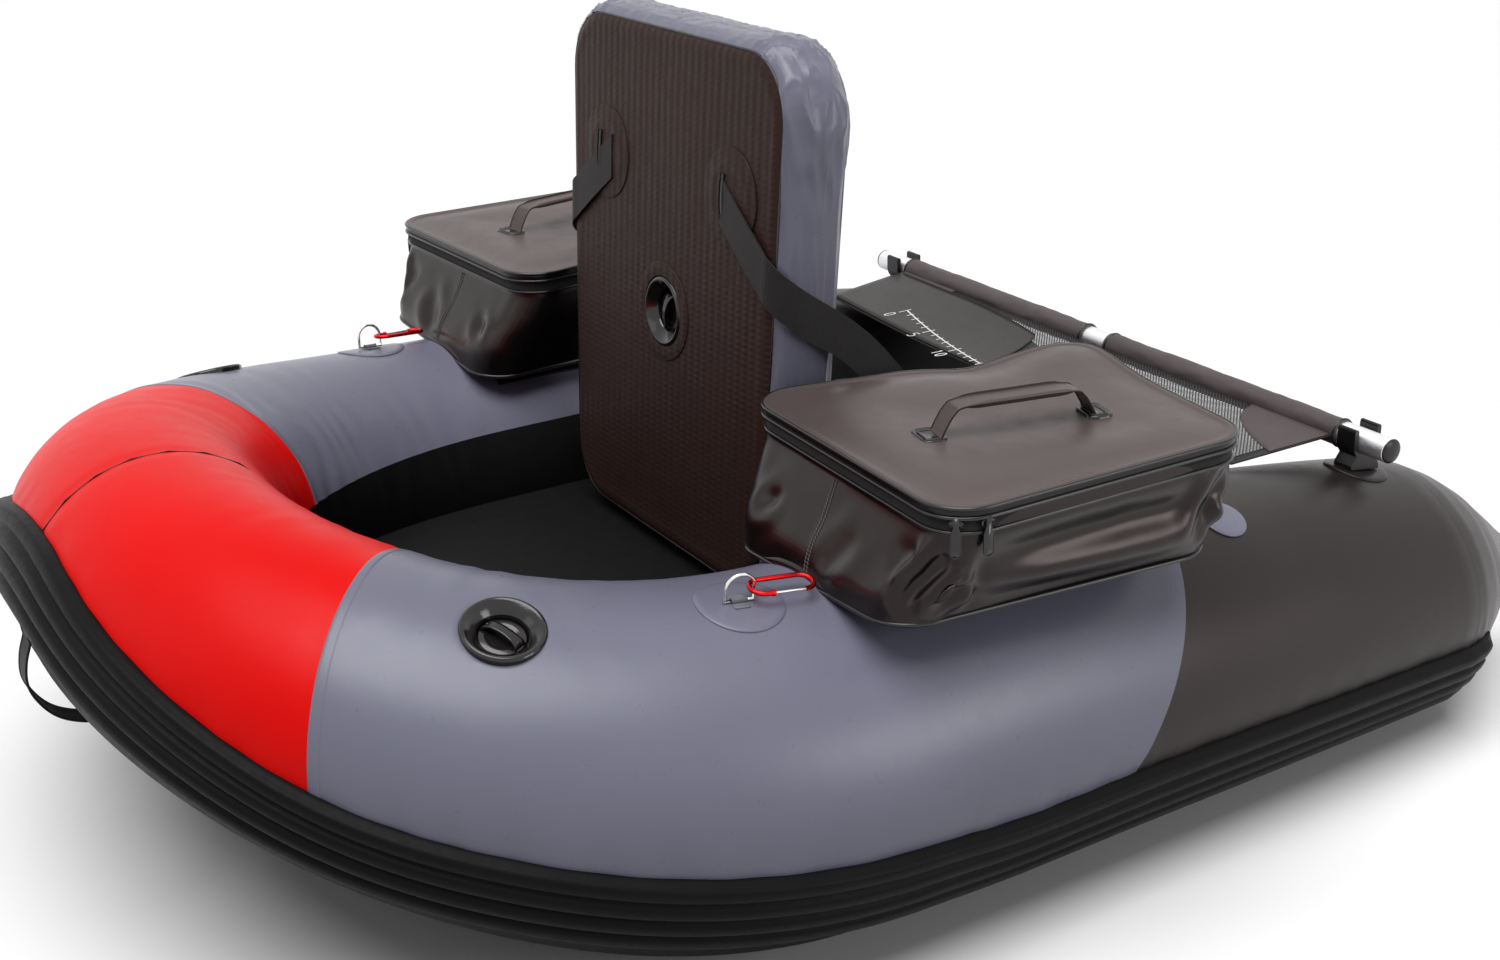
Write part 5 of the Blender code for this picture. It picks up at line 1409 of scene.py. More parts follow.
# %% Glued patches
RING_STATION = 0.888
RING_ANGLE = math.radians(81)
ANCHOR_STATION = station_at(0.422)
ANCHOR_ANGLE = math.radians(68)
CLIP_X = 0.412
CLIP_Y = 0.673
CLIP_STATION = station_at(CLIP_Y)
CLIP_ANGLE = math.acos((CLIP_X - HALF_TRACK) / spine(CLIP_STATION)[1])
RING_PATCH = 0.0010     # thickness of the patch under a ring
PLAIN_PATCH = 0.0012
PATCH_STEPS = 48


def tube_patch(name, station, angle, radius, thick, finish, node):
    """Round patch on the curved skin, with a soft edge."""
    tube_radius = spine(station)[1]
    per_station = (on_tube(station + STEP, angle) - on_tube(station - STEP, angle)).length / (2 * STEP)
    flat = [(share, thick + GLUE) for share in (0.975, 0.8, 0.6, 0.3, 0.02)]
    rows = []
    for share, lift in [(1, 0.0004), (0.995, thick * 0.7 + 0.0004)] + flat:
        row = []
        for turn in [math.tau * k / PATCH_STEPS for k in range(PATCH_STEPS)]:
            place = station + radius * share * math.sin(turn) / per_station
            here = angle - radius * share * math.cos(turn) / tube_radius
            row.append(on_tube(place, here, lift + pucker(station, angle)))
        rows.append(row)
    piece(skin(name, rows, around=True, hubs=[(-1, hub_of(rows[-1]))]), finish, "hull", (node,))


for word, hand in SIDES:
    tube_patch(f"ring_disc_{word}", hand * RING_STATION, RING_ANGLE, 0.040, RING_PATCH, GREY_FABRIC,
               f"ring_patch_{word}")
    tube_patch(f"anchor_disc_{word}", hand * ANCHOR_STATION, ANCHOR_ANGLE, 0.026, PLAIN_PATCH, GREY_FABRIC,
               f"anchor_patch_{word}")
    tube_patch(f"clip_disc_{word}", hand * CLIP_STATION, CLIP_ANGLE, 0.034, PLAIN_PATCH, BLACK_FABRIC,
               f"clip_base_{word}")
print("six patches")

# %% [markdown]
# A D-ring lies in a loop of webbing, the keeper, and a red carabiner hangs from it. The ring, the
# carabiner and its wire gate are bodies of their own, so each is made in a frame whose origin is its own
# hinge. The gap between any two wires is one small clearance, as in the solids.

# %% Tie ring, keeper and carabiner
RING_WIRE = 0.0016
RING_HALF = 0.0140
RING_LEG = 0.012
KEEPER_WEBBING = 0.0012
HOOK_WIRE = 0.0023
GATE_WIRE = 0.0012
HOOK_HALF = 0.0115
HOOK_LENGTH = 0.060
HOOK_LIFT = 0.0105
GATE_MOUTH = 0.0075
GATE_RANGE = math.radians(14)
RING_BAR_LIFT = GLUE + KEEPER_WEBBING + 2 * TOUCH + RING_WIRE
KEEPER_WIDTH = 0.015
KEEPER_END = 0.008
KEEPER_SUNK = 0.0002
NOSE_LENGTH = 0.0026
NOSE_BACK = 0.003
NOSE_SCALE = 1.25
RING_FRAME = tube_frame(RING_STATION, RING_ANGLE, RING_BAR_LIFT)
HOOK_FRAME = RING_FRAME @ Matrix.Translation((0, RING_HALF, HOOK_LIFT))
HOOK_REACH = RING_WIRE + HOOK_WIRE + TOUCH
GATE_TIP = HOOK_LENGTH - HOOK_HALF - TOUCH - GATE_WIRE * math.sin(GATE_RANGE)
GATE_START = HOOK_HALF + GATE_MOUTH + TOUCH + GATE_WIRE * math.sin(GATE_RANGE)


def arc_points(centre, radius, first, last, steps):
    turns = spread(first, last, steps)
    return [(centre[0] + radius * math.cos(a), centre[1] + radius * math.sin(a)) for a in turns]


def wire(name, points, radius, finish, placed, body, nodes=(), cyclic=False):
    """Bent round wire: a curve with a round bevel, made in a frame."""
    places = [placed @ Vector(place) for place in points]
    piece(round_line(name, [places], radius, 5, cyclic), finish, body, nodes)


def tie_ring(word, placed):
    body = f"tie_ring_{word}"
    crown = arc_points((0, RING_LEG), RING_HALF, 0, math.pi, 24)
    ring = [(0, along, rise) for along, rise in [(RING_HALF, 0)] + crown + [(-RING_HALF, 0)]]
    wire(f"tie_wire_{word}", ring, RING_WIRE, STEEL, placed, body, (body,), cyclic=True)


def carabiner(word, hand, placed):
    """Open red hook with its nose, and the straight wire gate that closes it."""
    body, gate_body = f"carabiner_{word}", f"carabiner_gate_{word}"
    near, far = HOOK_HALF, HOOK_LENGTH - HOOK_HALF
    hook = [(HOOK_HALF, near + GATE_MOUTH)]
    hook += arc_points((0, near), HOOK_HALF, 0, -math.pi, 18)
    hook += arc_points((0, far), HOOK_HALF, math.pi, 0, 18)
    hook = [(hand * across, along - HOOK_REACH, 0) for across, along in hook]
    wire(f"carabiner_spine_{word}", hook, HOOK_WIRE, RED_ANODISED, placed, body, (body,))
    aside = hand * HOOK_HALF
    gate = [(aside, GATE_START - HOOK_REACH + t, 0) for t in spread(0, GATE_TIP - GATE_START, 10)]
    wire(f"gate_wire_{word}", gate, GATE_WIRE, STEEL, placed, gate_body, (gate_body,))
    nose = [(aside, near + GATE_MOUTH - HOOK_REACH - NOSE_BACK + t, 0) for t in (0, NOSE_LENGTH)]
    wire(f"carabiner_nose_{word}", nose, HOOK_WIRE * NOSE_SCALE, RED_ANODISED, placed, body)


def ring_keeper(word, placed):
    """Loop of webbing over the ring's straight side, flat on the patch at both ends."""
    middle = RING_WIRE + TOUCH + KEEPER_WEBBING / 2
    foot = -RING_WIRE - TOUCH + KEEPER_WEBBING / 2
    start = math.asin(foot / middle)
    path = [Vector((x, 0, foot - KEEPER_SUNK)) for x in spread(-middle - KEEPER_END, -middle - 0.0012, 4)]
    flat = len(path)
    normals = [UP] * flat
    for turn in spread(math.pi - start, start, 14):
        path.append(Vector((middle * math.cos(turn), 0, middle * math.sin(turn))))
        normals.append(Vector((math.cos(turn), 0, math.sin(turn))))
    path += [Vector((-p.x, 0, p.z)) for p in reversed(path[:flat])]
    normals += [UP] * flat
    keeper = strip_solid(f"keeper_webbing_{word}", path, normals, KEEPER_WIDTH, KEEPER_WEBBING, placed)
    piece(keeper, WEBBING_GREY, "hull", (f"ring_keeper_{word}",))


for word, hand in SIDES:
    tie_ring(word, mirrored(RING_FRAME, hand))
    carabiner(word, hand, mirrored(HOOK_FRAME, hand))
    ring_keeper(word, mirrored(RING_FRAME, hand))
print("carabiner length", HOOK_LENGTH)

# %% [markdown]
# ## Bow handle
# A loop of webbing under the strake, used to drag the boat up a bank. Its ends are welded flat on the
# tube, under wider patches. The path is a list of angles round the bow, each with the share of the loop's
# full stand-off that it has there, so one smooth curve through them makes the loop.

# %% Bow handle
HANDLE_STAND = 0.022
HANDLE_SHARES = (
    (2, 0), (-3, 0), (-8, 0), (-15, 0.45), (-23, 0.88), (-31, 1), (-39, 0.95), (-47, 0.66), (-54, 0.28),
    (-60, 0), (-66, 0), (-72, 0),
)
HANDLE_WIDTH = 0.028
HANDLE_THICK = 0.0025
HANDLE_PAD_WIDTH = 0.052
HANDLE_PAD_THICK = 0.0011
HANDLE_PADS = (("upper", 1.5, -9.5), ("lower", -58.5, -73))


def round_bow(name, marks, width, thick):
    """Strip round the bow's centre: pairs of an angle in degrees and a height over the tube."""
    path, normals = [], []
    for degrees, height in marks:
        angle = math.radians(degrees)
        path.append(on_tube(0, angle, height))
        normals.append(on_tube(0, angle, 1) - on_tube(0, angle))
    return strip_solid(name, path, normals, width, thick)


loop = catmull([(degrees, share, 0) for degrees, share in HANDLE_SHARES], 5)
marks = [(mark.x, GLUE + HANDLE_THICK / 2 + HANDLE_STAND * max(mark.y, 0)) for mark in loop]
piece(round_bow("bow_webbing", marks, HANDLE_WIDTH, HANDLE_THICK), WEBBING_BLACK, "hull", ("bow_handle",))
for word, first, last in HANDLE_PADS:
    marks = [(degrees, GLUE) for degrees in spread(first, last, 8)]
    pad = round_bow(f"bow_handle_pad_{word}", marks, HANDLE_PAD_WIDTH, HANDLE_PAD_THICK)
    piece(pad, BLACK_FABRIC)

# %% [markdown]
# ## Side bags
# A tarpaulin bag sits on each side tube: a lid with a double row of piping, a body that slumps over a
# curved pad, a carry handle and two zip pullers. Tarpaulin doesn't stretch, so it slumps in flat facets
# with sharp folds near the corners. We loft the body, crumple it with noise, and then press a few listed
# folds into it.

# %% Bag body
BAG_CORNERS = ((0.238, 0.012 + AFT), (0.583, -0.006 + AFT), (0.586, 0.329 + AFT), (0.311, 0.364 + AFT))
BAG_FOOT = ((0.276, -0.030 + AFT), (0.547, -0.034 + AFT), (0.577, 0.302 + AFT), (0.305, 0.347 + AFT))
BAG_CORNER_RADIUS = 0.043
BAG_SEAM = 0.447
BAG_HEM = 0.018
BAG_LOW_OUTBOARD = 0.343
BAG_LOW_INBOARD = 0.326
BAG_EDGE_ROW = 28
PIPING = 0.0022
LID_HEIGHT = 0.012
BAG_CLEAR = 0.0056      # the bag's floor stays this far over the tube
BAG_FLOOR_SHARES = (
    (0.985, 0.004), (0.955, 0.006), (0.90, 0.006), (0.8, 0.006), (0.65, 0.006), (0.45, 0.006), (0.2, 0.006),
    (0.02, 0.006),
)
EDGE_ROUND = 0.006


def tube_top(x, y, lift):
    centre, radius = spine(max(station_at(y - AFT), 1))
    reach = radius + lift
    aside = min(abs(x - centre.x), reach)
    return centre.z + math.sqrt(reach * reach - aside * aside)


def bag_corners(share):
    return [Vector(rim).lerp(Vector(foot), share) for rim, foot in zip(BAG_CORNERS, BAG_FOOT)]


def bag_ring(inset, level):
    return flat_row(BAG_CORNERS, BAG_CORNER_RADIUS, inset, level)


def bag_low(x):
    """Height of the bag's bottom edge, which is higher outboard."""
    out_share = min(max((x - BAG_FOOT[0][0]) / (BAG_FOOT[1][0] - BAG_FOOT[0][0]), 0), 1)
    return BAG_LOW_INBOARD + (BAG_LOW_OUTBOARD - BAG_LOW_INBOARD) * out_share


def bag_rows():
    """Rows from the rim down the wall, round the bottom edge and in under the bag."""
    hem = BAG_SEAM - BAG_HEM
    middle = (BAG_LOW_INBOARD + BAG_LOW_OUTBOARD) / 2
    # each knot is a height, the share of the way from rim to foot, and an inset in millimetres
    knots = catmull([
        (BAG_SEAM, 0, 4), (hem, 0, 4.2), ((2 * hem + middle) / 3, 0.3, 0.5),
        ((hem + 2 * middle) / 3, 0.75, -3), (middle + EDGE_ROUND, 0.97, -1.5),
    ], 7)
    rows = []
    for level, share, inset in knots:
        share = min(max(share, 0), 1)
        row = flat_row(bag_corners(share), BAG_CORNER_RADIUS, inset / 1000, level)
        drop = ease(share, 0.4, 1)
        for p in row:
            p.z += (bag_low(p.x) - middle) * drop
        rows.append(row)
    edge = rows[-1]
    centre = hub_of(edge)
    for inset_share, fall in BAG_FLOOR_SHARES:
        row = []
        for p in edge:
            q = centre.lerp(p, inset_share)
            q.z = max(bag_low(q.x) + EDGE_ROUND - fall, tube_top(q.x, q.y, BAG_CLEAR))
            row.append(q)
        rows.append(row)
    return rows


print("bag rows", len(bag_rows()))

# %% [markdown]
# A fold is pressed in along a line, with a fading bulge on its flank. Twelve of them give the wall its
# facets, and none reaches the seam or the welt, where the cloth is held. The bow wall's sewn seam is found
# on the finished shell: each stitch asks for the nearest point of the surface and lies on it.

# %% Folds and stitches
FOLD_REACH = 0.25       # a fold runs on by this share of its length while it fades


def fold(mesh, first, last, depth, width):
    """Sharp crease pressed in along a line: the points beside it move in, and its flank bulges out."""
    first, last = Vector(first), Vector(last)
    line = last - first
    mesh.update()
    normals = [v.normal.copy() for v in mesh.vertices]
    for vertex, normal in zip(mesh.vertices, normals):
        share = (vertex.co - first).dot(line) / line.length_squared
        if -FOLD_REACH < share < 1 + FOLD_REACH:
            nearest = first + line * min(max(share, 0), 1)
            away = (vertex.co - nearest).length
            fade = ease(share, -FOLD_REACH, 0.3) * (1 - ease(share, 0.8, 1 + FOLD_REACH))
            press = -depth * bell(away, 0, width) + 0.55 * depth * bell(away, width * 2.0, width)
            vertex.co += normal * fade * press
    mesh.update()


def slack(point):
    """How far the bag's wall is free to move: not at all at the seam and at the welt."""
    return ease(BAG_SEAM - point.z, 0.010, 0.034) * ease(point.z, 0.345, 0.362)


# Each fold is two ends, the depth pressed in, or out where it is a ridge, and the width.
BAG_FOLDS = (
    ((0.553, -0.178, 0.360), (0.574, -0.143, 0.404), -0.0062, 0.0052),
    ((0.541, -0.178, 0.366), (0.566, -0.150, 0.412), 0.0085, 0.0085),
    ((0.566, -0.160, 0.356), (0.577, -0.130, 0.386), 0.0080, 0.0072),
    ((0.577, -0.132, 0.402), (0.568, -0.126, 0.354), -0.0048, 0.0080),
    ((0.520, -0.183, 0.398), (0.545, -0.178, 0.404), -0.0050, 0.0100),
    ((0.582, -0.110, 0.404), (0.582, 0.105, 0.404), 0.0058, 0.0150),
    ((0.578, -0.095, 0.378), (0.578, 0.115, 0.378), -0.0034, 0.0130),
    ((0.586, 0.155, 0.424), (0.578, 0.120, 0.372), 0.0062, 0.0100),
    ((0.570, 0.168, 0.362), (0.586, 0.140, 0.402), -0.0040, 0.0070),
    ((0.330, -0.165, 0.395), (0.300, -0.150, 0.350), 0.0042, 0.0090),
    ((0.460, -0.172, 0.404), (0.432, -0.182, 0.362), 0.0036, 0.0120),
    ((0.390, 0.200, 0.410), (0.360, 0.200, 0.350), 0.0042, 0.0100),
)
STITCH = 0.0034
STITCH_ROWS = (("inner", -0.0022), ("outer", 0.0022))
BOW_SEAM = (Vector((0.403, -0.155, 0.430)), Vector((0.410, -0.181, 0.352)))


def stitches(name, places, normals, radius, finish, body="hull"):
    """A row of short raised threads, each slanted across the line of places."""
    threads = []
    for k, (place, normal) in enumerate(zip(places, normals)):
        step = step_at(places, k).normalized()
        aside = normal.cross(step).normalized()
        slant = (step + aside * 0.7).normalized() * STITCH * 0.42
        bends = ((-1, -0.3), (0, 1.0), (1, -0.3))
        threads.append([place + slant * share + normal * radius * lift for share, lift in bends])
    piece(round_line(name, threads, radius, sides=1), finish, body)


def sewn_seam(word, shell, hand):
    """The upright seam of the bow wall, with a double row of stitches."""
    surface = BVHTree.FromPolygons([v.co for v in shell.vertices], [f.vertices for f in shell.polygons])
    first, last = handed(BOW_SEAM, hand)
    steps = int((last - first).length / STITCH)
    for row, shift in STITCH_ROWS:
        places, normals = [], []
        for share in spread(0, 1, steps):
            near = surface.find_nearest(first.lerp(last, share) + Vector((hand * shift, 0, 0)))
            places.append(near[0] + near[1] * 0.0002)
            normals.append(near[1])
        stitches(f"bag_stitches_{row}_{word}", places, normals, SEAM_THREAD, THREAD)


print("folds in each bag", len(BAG_FOLDS))

# %% [markdown]
# Now the bag itself is put together: a split and crumpled shell, its folds, the thickness of its cloth,
# the sewn seam, and two round welts that hide the edges of the panels. The left bag is the same shell,
# mirrored, but its noise starts elsewhere, so that the two aren't twins.

# %% Bag bodies
BAG_CLOTH = 0.0016
BAG_WELT = 0.0019
HEM_BEAD = 0.0018
HEM_INSET = 0.0024
HEM_DROP = 0.0120
SEAM_THREAD = 0.00055


def to_its_side(mesh, hand):
    """Mirror a mesh that was made on the right, and turn its faces outwards again."""
    if hand < 0:
        mesh.transform(FLIP)
        weld(mesh)
    return mesh


def bag_body(word, hand):
    seed = hand < 0
    rows = bag_rows()
    body = skin(f"bag_shell_{word}", rows, around=True, hubs=[(-1, hub_of(rows[-1]))])
    split_finely(body, 2)
    crumple(body, 0.0024, 0.090, 3.0 + seed, slack)
    crumple(body, 0.0007, 0.032, 6.0 + seed, slack)
    for first, last, depth, width in BAG_FOLDS:
        fold(body, first, last, depth, width)
    to_its_side(body, hand)
    shell = piece(body, BAG_FABRIC, "hull", (f"bag_body_{word}",))
    give_thickness(shell, BAG_CLOTH, offset=-1)
    sewn_seam(word, body, hand)
    bead(f"bag_welt_{word}", handed(rows[BAG_EDGE_ROW], hand), BAG_WELT, PIPING_VINYL)
    hem = handed(bag_ring(HEM_INSET, BAG_SEAM - HEM_DROP), hand)
    bead(f"bag_hem_{word}", hem, HEM_BEAD, PIPING_VINYL)


for word, hand in SIDES:
    bag_body(word, hand)

# %% [markdown]
# A thick pad is glued to the tube under each bag. It follows the tube's curve, so it is made from the same
# stations and angles as the hull: a row of points just over the skin, and back again at the pad's
# thickness.

# %% Bag pads
BASE_THICKNESS = 0.004
BASE_LENGTH = 0.350
BASE_DEGREES = (60, 125)
BASE_SKIN = 0.0007


def base_pad(word, hand):
    rows = []
    for y in spread(0.0, BASE_LENGTH, 24):
        station = hand * station_at(y)
        angles = [math.radians(a) for a in spread(*BASE_DEGREES, 32)]
        row = [on_tube(station, a, BASE_SKIN) for a in angles]
        row += [on_tube(station, a, GLUE + BASE_THICKNESS) for a in reversed(angles)]
        rows.append(row)
    pad = crease(skin(f"bag_pad_{word}", rows, around=True, ends=True), 50)
    piece(pad, BLACK_FABRIC, "hull", (f"bag_base_{word}",))


for word, hand in SIDES:
    base_pad(word, hand)

# %% [markdown]
# The lid is one panel held in a bound edge, with piping above and below it. Its top sags a little and its
# rear inner edge rides up in a wave, as the bag leans against nothing there.

# %% Bag lids
LID_HINGE = Vector((*BAG_CORNERS[0], BAG_SEAM)).lerp(Vector((*BAG_CORNERS[3], BAG_SEAM)), 0.5)
LID_BASE = BAG_SEAM + TOUCH
LID_TOP = LID_BASE + LID_HEIGHT
LID_SWELL = 0.0040
LID_SAG = 0.0055
LID_SHARES = (1, 0.97, 0.93, 0.87, 0.8, 0.7, 0.6, 0.5, 0.4, 0.3, 0.2, 0.1, 0.02)
PIPING_SHARE = 0.85
ZIP_DROP = 0.0115
ZIP_GAP = 0.0004


def lid_wave(x, y):
    """Rise of the lid's edge at its inner rear corner, and its dip beside that."""
    rise = 0.010 * bell(math.hypot(x - 0.340, y - 0.185), 0, 0.055)
    dip = -0.007 * bell(math.hypot(x - 0.290, y - 0.090), 0, 0.042)
    return rise + dip


def lid_row(inset, level):
    row = bag_ring(inset, level)
    for p in row:
        p.z += lid_wave(p.x, p.y) * ease(level, BAG_SEAM - 0.002, BAG_SEAM + LID_HEIGHT)
    return row


def lid_panel_row(rim, share, seed):
    """A ring of the lid's top, which swells inside its edge and sags in the middle."""
    centre = hub_of(rim)
    row = []
    for p in rim:
        q = centre.lerp(p, share)
        swell = LID_SWELL * ease(1 - share, 0, 0.25) - LID_SAG * ease(1 - share, 0.25, 0.9)
        q.z = LID_TOP - 0.0010 + swell + lid_wave(q.x, q.y)
        uneven = noise.noise(Vector((q.x * 11, q.y * 11, 2.0 + seed)))
        q.z += 0.0016 * uneven * ease(1 - share, 0, 0.2)
        row.append(q)
    return row


def bag_lid(word, hand):
    body = f"bag_lid_{word}"
    rows = [
        lid_row(0.0135, LID_BASE), lid_row(0.004, LID_BASE), lid_row(0.0008, LID_BASE + 0.0006),
        lid_row(0, LID_BASE + 0.002), lid_row(0, LID_BASE + 0.0100), lid_row(0.0009, LID_BASE + 0.0116),
        lid_row(0.0030, LID_TOP), lid_row(0.0060, LID_TOP - 0.0002), lid_row(0.0075, LID_TOP - 0.0011),
    ]
    rim = lid_row(0.0120, LID_TOP - 0.0010)
    rows += [lid_panel_row(rim, share, hand < 0) for share in LID_SHARES]
    lid = crease(to_its_side(closed_tube(f"bag_top_{word}", rows), hand), 70)
    # The lid's top takes the lighter fabric, with its painted sheen.
    piece(lid, [LID_FABRIC_PAINTED_SHEEN, BINDING_VINYL], body, (body,))
    for face in lid.polygons:
        face.material_index = int(abs(face.normal.z) < 0.75)
    for mark, level in (("lower", LID_BASE + 0.0018), ("upper", LID_BASE + 0.0103)):
        line = handed(lid_row(-0.0002, level), hand)
        bead(f"lid_piping_{mark}_{word}", line, PIPING * PIPING_SHARE, PIPING_VINYL, body)


def zip_band(word, hand):
    """Woven zip tape between body and lid."""
    places = ((0.0030, ZIP_DROP), (0.0026, ZIP_GAP), (0.0060, ZIP_GAP))
    rows = [handed(bag_ring(inset, BAG_SEAM - drop), hand) for inset, drop in places]
    piece(skin(f"zip_tape_{word}", rows, around=True), WEBBING_BLACK)


for word, hand in SIDES:
    bag_lid(word, hand)
    zip_band(word, hand)
print("lid hinge", [round(c, 3) for c in LID_HINGE])

# %% [markdown]
# The handle is a strap that widens into a doubled grip. Its feet lie under two stitched tabs, which stand
# a little over the swollen lid. It is made along its own Y axis and then turned to lie along the lid.

# %% Lid handles
HANDLE_FIRST = Vector((0.434, 0.094 + AFT))
HANDLE_LAST = Vector((0.466, 0.243 + AFT))
HANDLE_RISE = 0.032
HANDLE_CLIMB = (
    (-0.020, 0.0022), (-0.008, 0.0022), (-0.001, 0.005), (0.004, 0.014), (0.012, 0.026), (0.024, 0.0315),
)
LID_LEVEL = LID_TOP - 0.003
TAB_LIFT = 0.0022
TAB_CORNER = 0.009
TAB_HALF = 0.018
TAB_ROWS = ((0, TAB_LIFT - 0.0032), (0.0003, TAB_LIFT + 0.0034), (0.0018, TAB_LIFT + 0.0044),
            (0.0036, TAB_LIFT + 0.0032))
TAB_SEWN = (0.0060, TAB_LIFT + 0.0034)
TAB_THREAD = 0.0005


def lid_handle(word, hand):
    run = HANDLE_LAST - HANDLE_FIRST
    half = run.length / 2
    knots = [(0, -half + along, rise) for along, rise in HANDLE_CLIMB] + [(0, 0, HANDLE_RISE)]
    knots += [(0, half - along, rise) for along, rise in reversed(HANDLE_CLIMB)]
    path = catmull(knots, 6)
    normals, widths, depths = [], [], []
    for k, place in enumerate(path):
        away = abs(place.y)
        normals.append(Vector((1, 0, 0)).cross(step_at(path, k)).normalized())
        grip = ease(half * 0.62 - away, -0.004, 0.004)
        foot = ease(away, half + 0.001, half + 0.010)
        foot *= 1 - ease(away, half + 0.012, half + 0.022)
        widths.append(0.024 + 0.004 * grip + 0.008 * foot)
        depths.append(0.0026 + 0.0036 * grip)
    centre = (HANDLE_FIRST + HANDLE_LAST) / 2
    placed = Matrix.Translation((*centre, LID_LEVEL)) @ Matrix.Rotation(math.atan2(-run.x, run.y), 4, "Z")
    placed = mirrored(placed, hand)
    grip = strip_solid(f"lid_grip_{word}", path, normals, widths, depths, placed)
    # The grip shares the lid's lighter colour, with its painted sheen.
    piece(grip, LID_FABRIC_PAINTED_SHEEN, f"bag_lid_{word}", (f"lid_handle_{word}",))
    for mark, y in (("bow", -half - 0.006), ("stern", half + 0.006)):
        handle_tab(f"{mark}_{word}", y, placed, f"bag_lid_{word}")


def handle_tab(name, y, placed, body):
    """Stitched tab over one foot of the handle."""
    low, high = y - 0.014, y + 0.012
    corners = ((-TAB_HALF, low), (TAB_HALF, low), (TAB_HALF, high), (-TAB_HALF, high))
    sewn = [placed @ p for p in flat_row(corners, TAB_CORNER, *TAB_SEWN)[::3]]
    raised = placed.to_3x3() @ UP
    stitches(f"handle_stitches_{name}", sewn, [raised] * len(sewn), TAB_THREAD, THREAD, body)
    rows = [flat_row(corners, TAB_CORNER, inset, level) for inset, level in TAB_ROWS]
    tab = skin(f"handle_tab_{name}", rows, around=True, hubs=[(-1, hub_of(rows[-1]))])
    tab.transform(placed)
    piece(tab, PIPING_VINYL, body)


for word, hand in SIDES:
    lid_handle(word, hand)

# %% [markdown]
# The zip pullers are small flat tabs with a rounded end and a thin raised rim, hanging from the sliders
# beside the seam. Each swings on its own hinge, so it is made in a frame at that hinge, with its Y axis
# upwards. The slider stays with the bag, because the tab is the part that moves.

# %% Zip pullers
PULLER_LENGTH = 0.030
PULLER_HALF_WIDTH = 0.0048
PULLER_NECK = 0.0024
PULLER_HALF_THICK = 0.0009
PULLER_LAYERS = ((-0.0009, 0.86), (-0.0006, 1), (0.0006, 1), (0.0009, 0.86), (0.0009, 0.70), (0.0004, 0.62))
PULLERS = (("bow", 42), ("stern", 6))       # and how far round the lid's corner each hangs, in degrees
SLIDER_WIDTHS = (0.004, 0.007, 0.007, 0.004)


def puller_frame(degrees):
    """Hinge of a puller on the lid's rounded bow corner."""
    corner = inset_corners(BAG_CORNERS, BAG_CORNER_RADIUS)[1]
    turn = math.radians(degrees)
    out = Vector((math.cos(turn), -math.sin(turn), 0))
    place = Vector((*corner, BAG_SEAM + PIPING)) + out * (BAG_CORNER_RADIUS + 2 * TOUCH + PULLER_HALF_THICK)
    upright = Matrix.Rotation(math.pi / 2, 4, "X")
    return Matrix.Translation(place) @ Matrix.Rotation(-math.pi / 2 - turn, 4, "Z") @ upright


def zip_puller(word, end, placed):
    neck, quarter = PULLER_NECK, PULLER_LENGTH / 4
    outline = [(neck, PULLER_HALF_THICK), (-neck, PULLER_HALF_THICK), (-neck, -quarter)]
    outline += [(-PULLER_HALF_WIDTH, -PULLER_LENGTH / 2)]
    outline += arc_points((0, -PULLER_LENGTH), PULLER_HALF_WIDTH, math.pi, math.tau, 12)
    outline += [(PULLER_HALF_WIDTH, -PULLER_LENGTH / 2), (neck, -quarter)]
    body = f"zip_puller_{word}_{end}"
    rows = []
    for depth, share in PULLER_LAYERS:
        rows.append([Vector((a * share, b * (0.97 + 0.03 * share), depth)) for a, b in outline])
    tab = closed_tube(f"zip_tab_{word}_{end}", rows)
    tab.transform(placed)
    piece(tab, GLOSS_PLASTIC, body, (body,))
    open_part = [(a, b) for a, b in outline if b < -PULLER_LENGTH / 3]
    rim = [placed @ Vector((a * 0.98, b, -PULLER_HALF_THICK)) for a, b in open_part]
    bead(f"zip_tab_rim_{word}_{end}", rim, 0.0003, GLOSS_PLASTIC, body, cyclic=False)
    path = [placed @ Vector((along, -0.0052, 0.0022)) for along in (-0.006, -0.003, 0.003, 0.006)]
    normal = placed.to_3x3() @ Vector((0, 0, -1))
    slider = strip_solid(f"zip_slider_{word}_{end}", path, [normal] * 4, SLIDER_WIDTHS, 0.0028)
    piece(slider, GLOSS_PLASTIC)


for word, hand in SIDES:
    for end, degrees in PULLERS:
        zip_puller(word, end, mirrored(puller_frame(degrees), hand))
print("pullers", len(SIDES) * len(PULLERS))

# %% [markdown]
# ## Stripping bar and apron
# A round aluminium bar rests in two open clips. Two fabric sleeves on it carry the apron, a taut net that
# catches loose line, with a solid panel on one half. The panel has a plain scale for measuring a fish.

# %% Cross bar
BAR_Y = CLIP_Y + AFT
BAR_HEIGHT = 0.323
BAR_RADIUS = 0.0135
BAR_WALL = 0.0015
BAR_HALF = 0.455
BAR_CAP = 0.005
SLEEVE_CLOTH = 0.0014
SLEEVE_FIRST = 0.020
SLEEVE_LAST = 0.392
BAR_CHAMFER = 0.0005
BAR_PLAIN_HALF = 0.44
CAP_PLUG = 0.016
CAP_BRIM = 0.001


def along_bar(name, profile, finish, node, hand=1):
    """Solid of revolution about the bar's centre line: (radius, x) pairs."""
    placed = Matrix.Translation((0, BAR_Y, BAR_HEIGHT)) @ Matrix.Rotation(math.pi / 2, 4, "Y")
    piece(lathe(name, profile, mirrored(placed, hand), closed=True), finish, "bar", (node,))


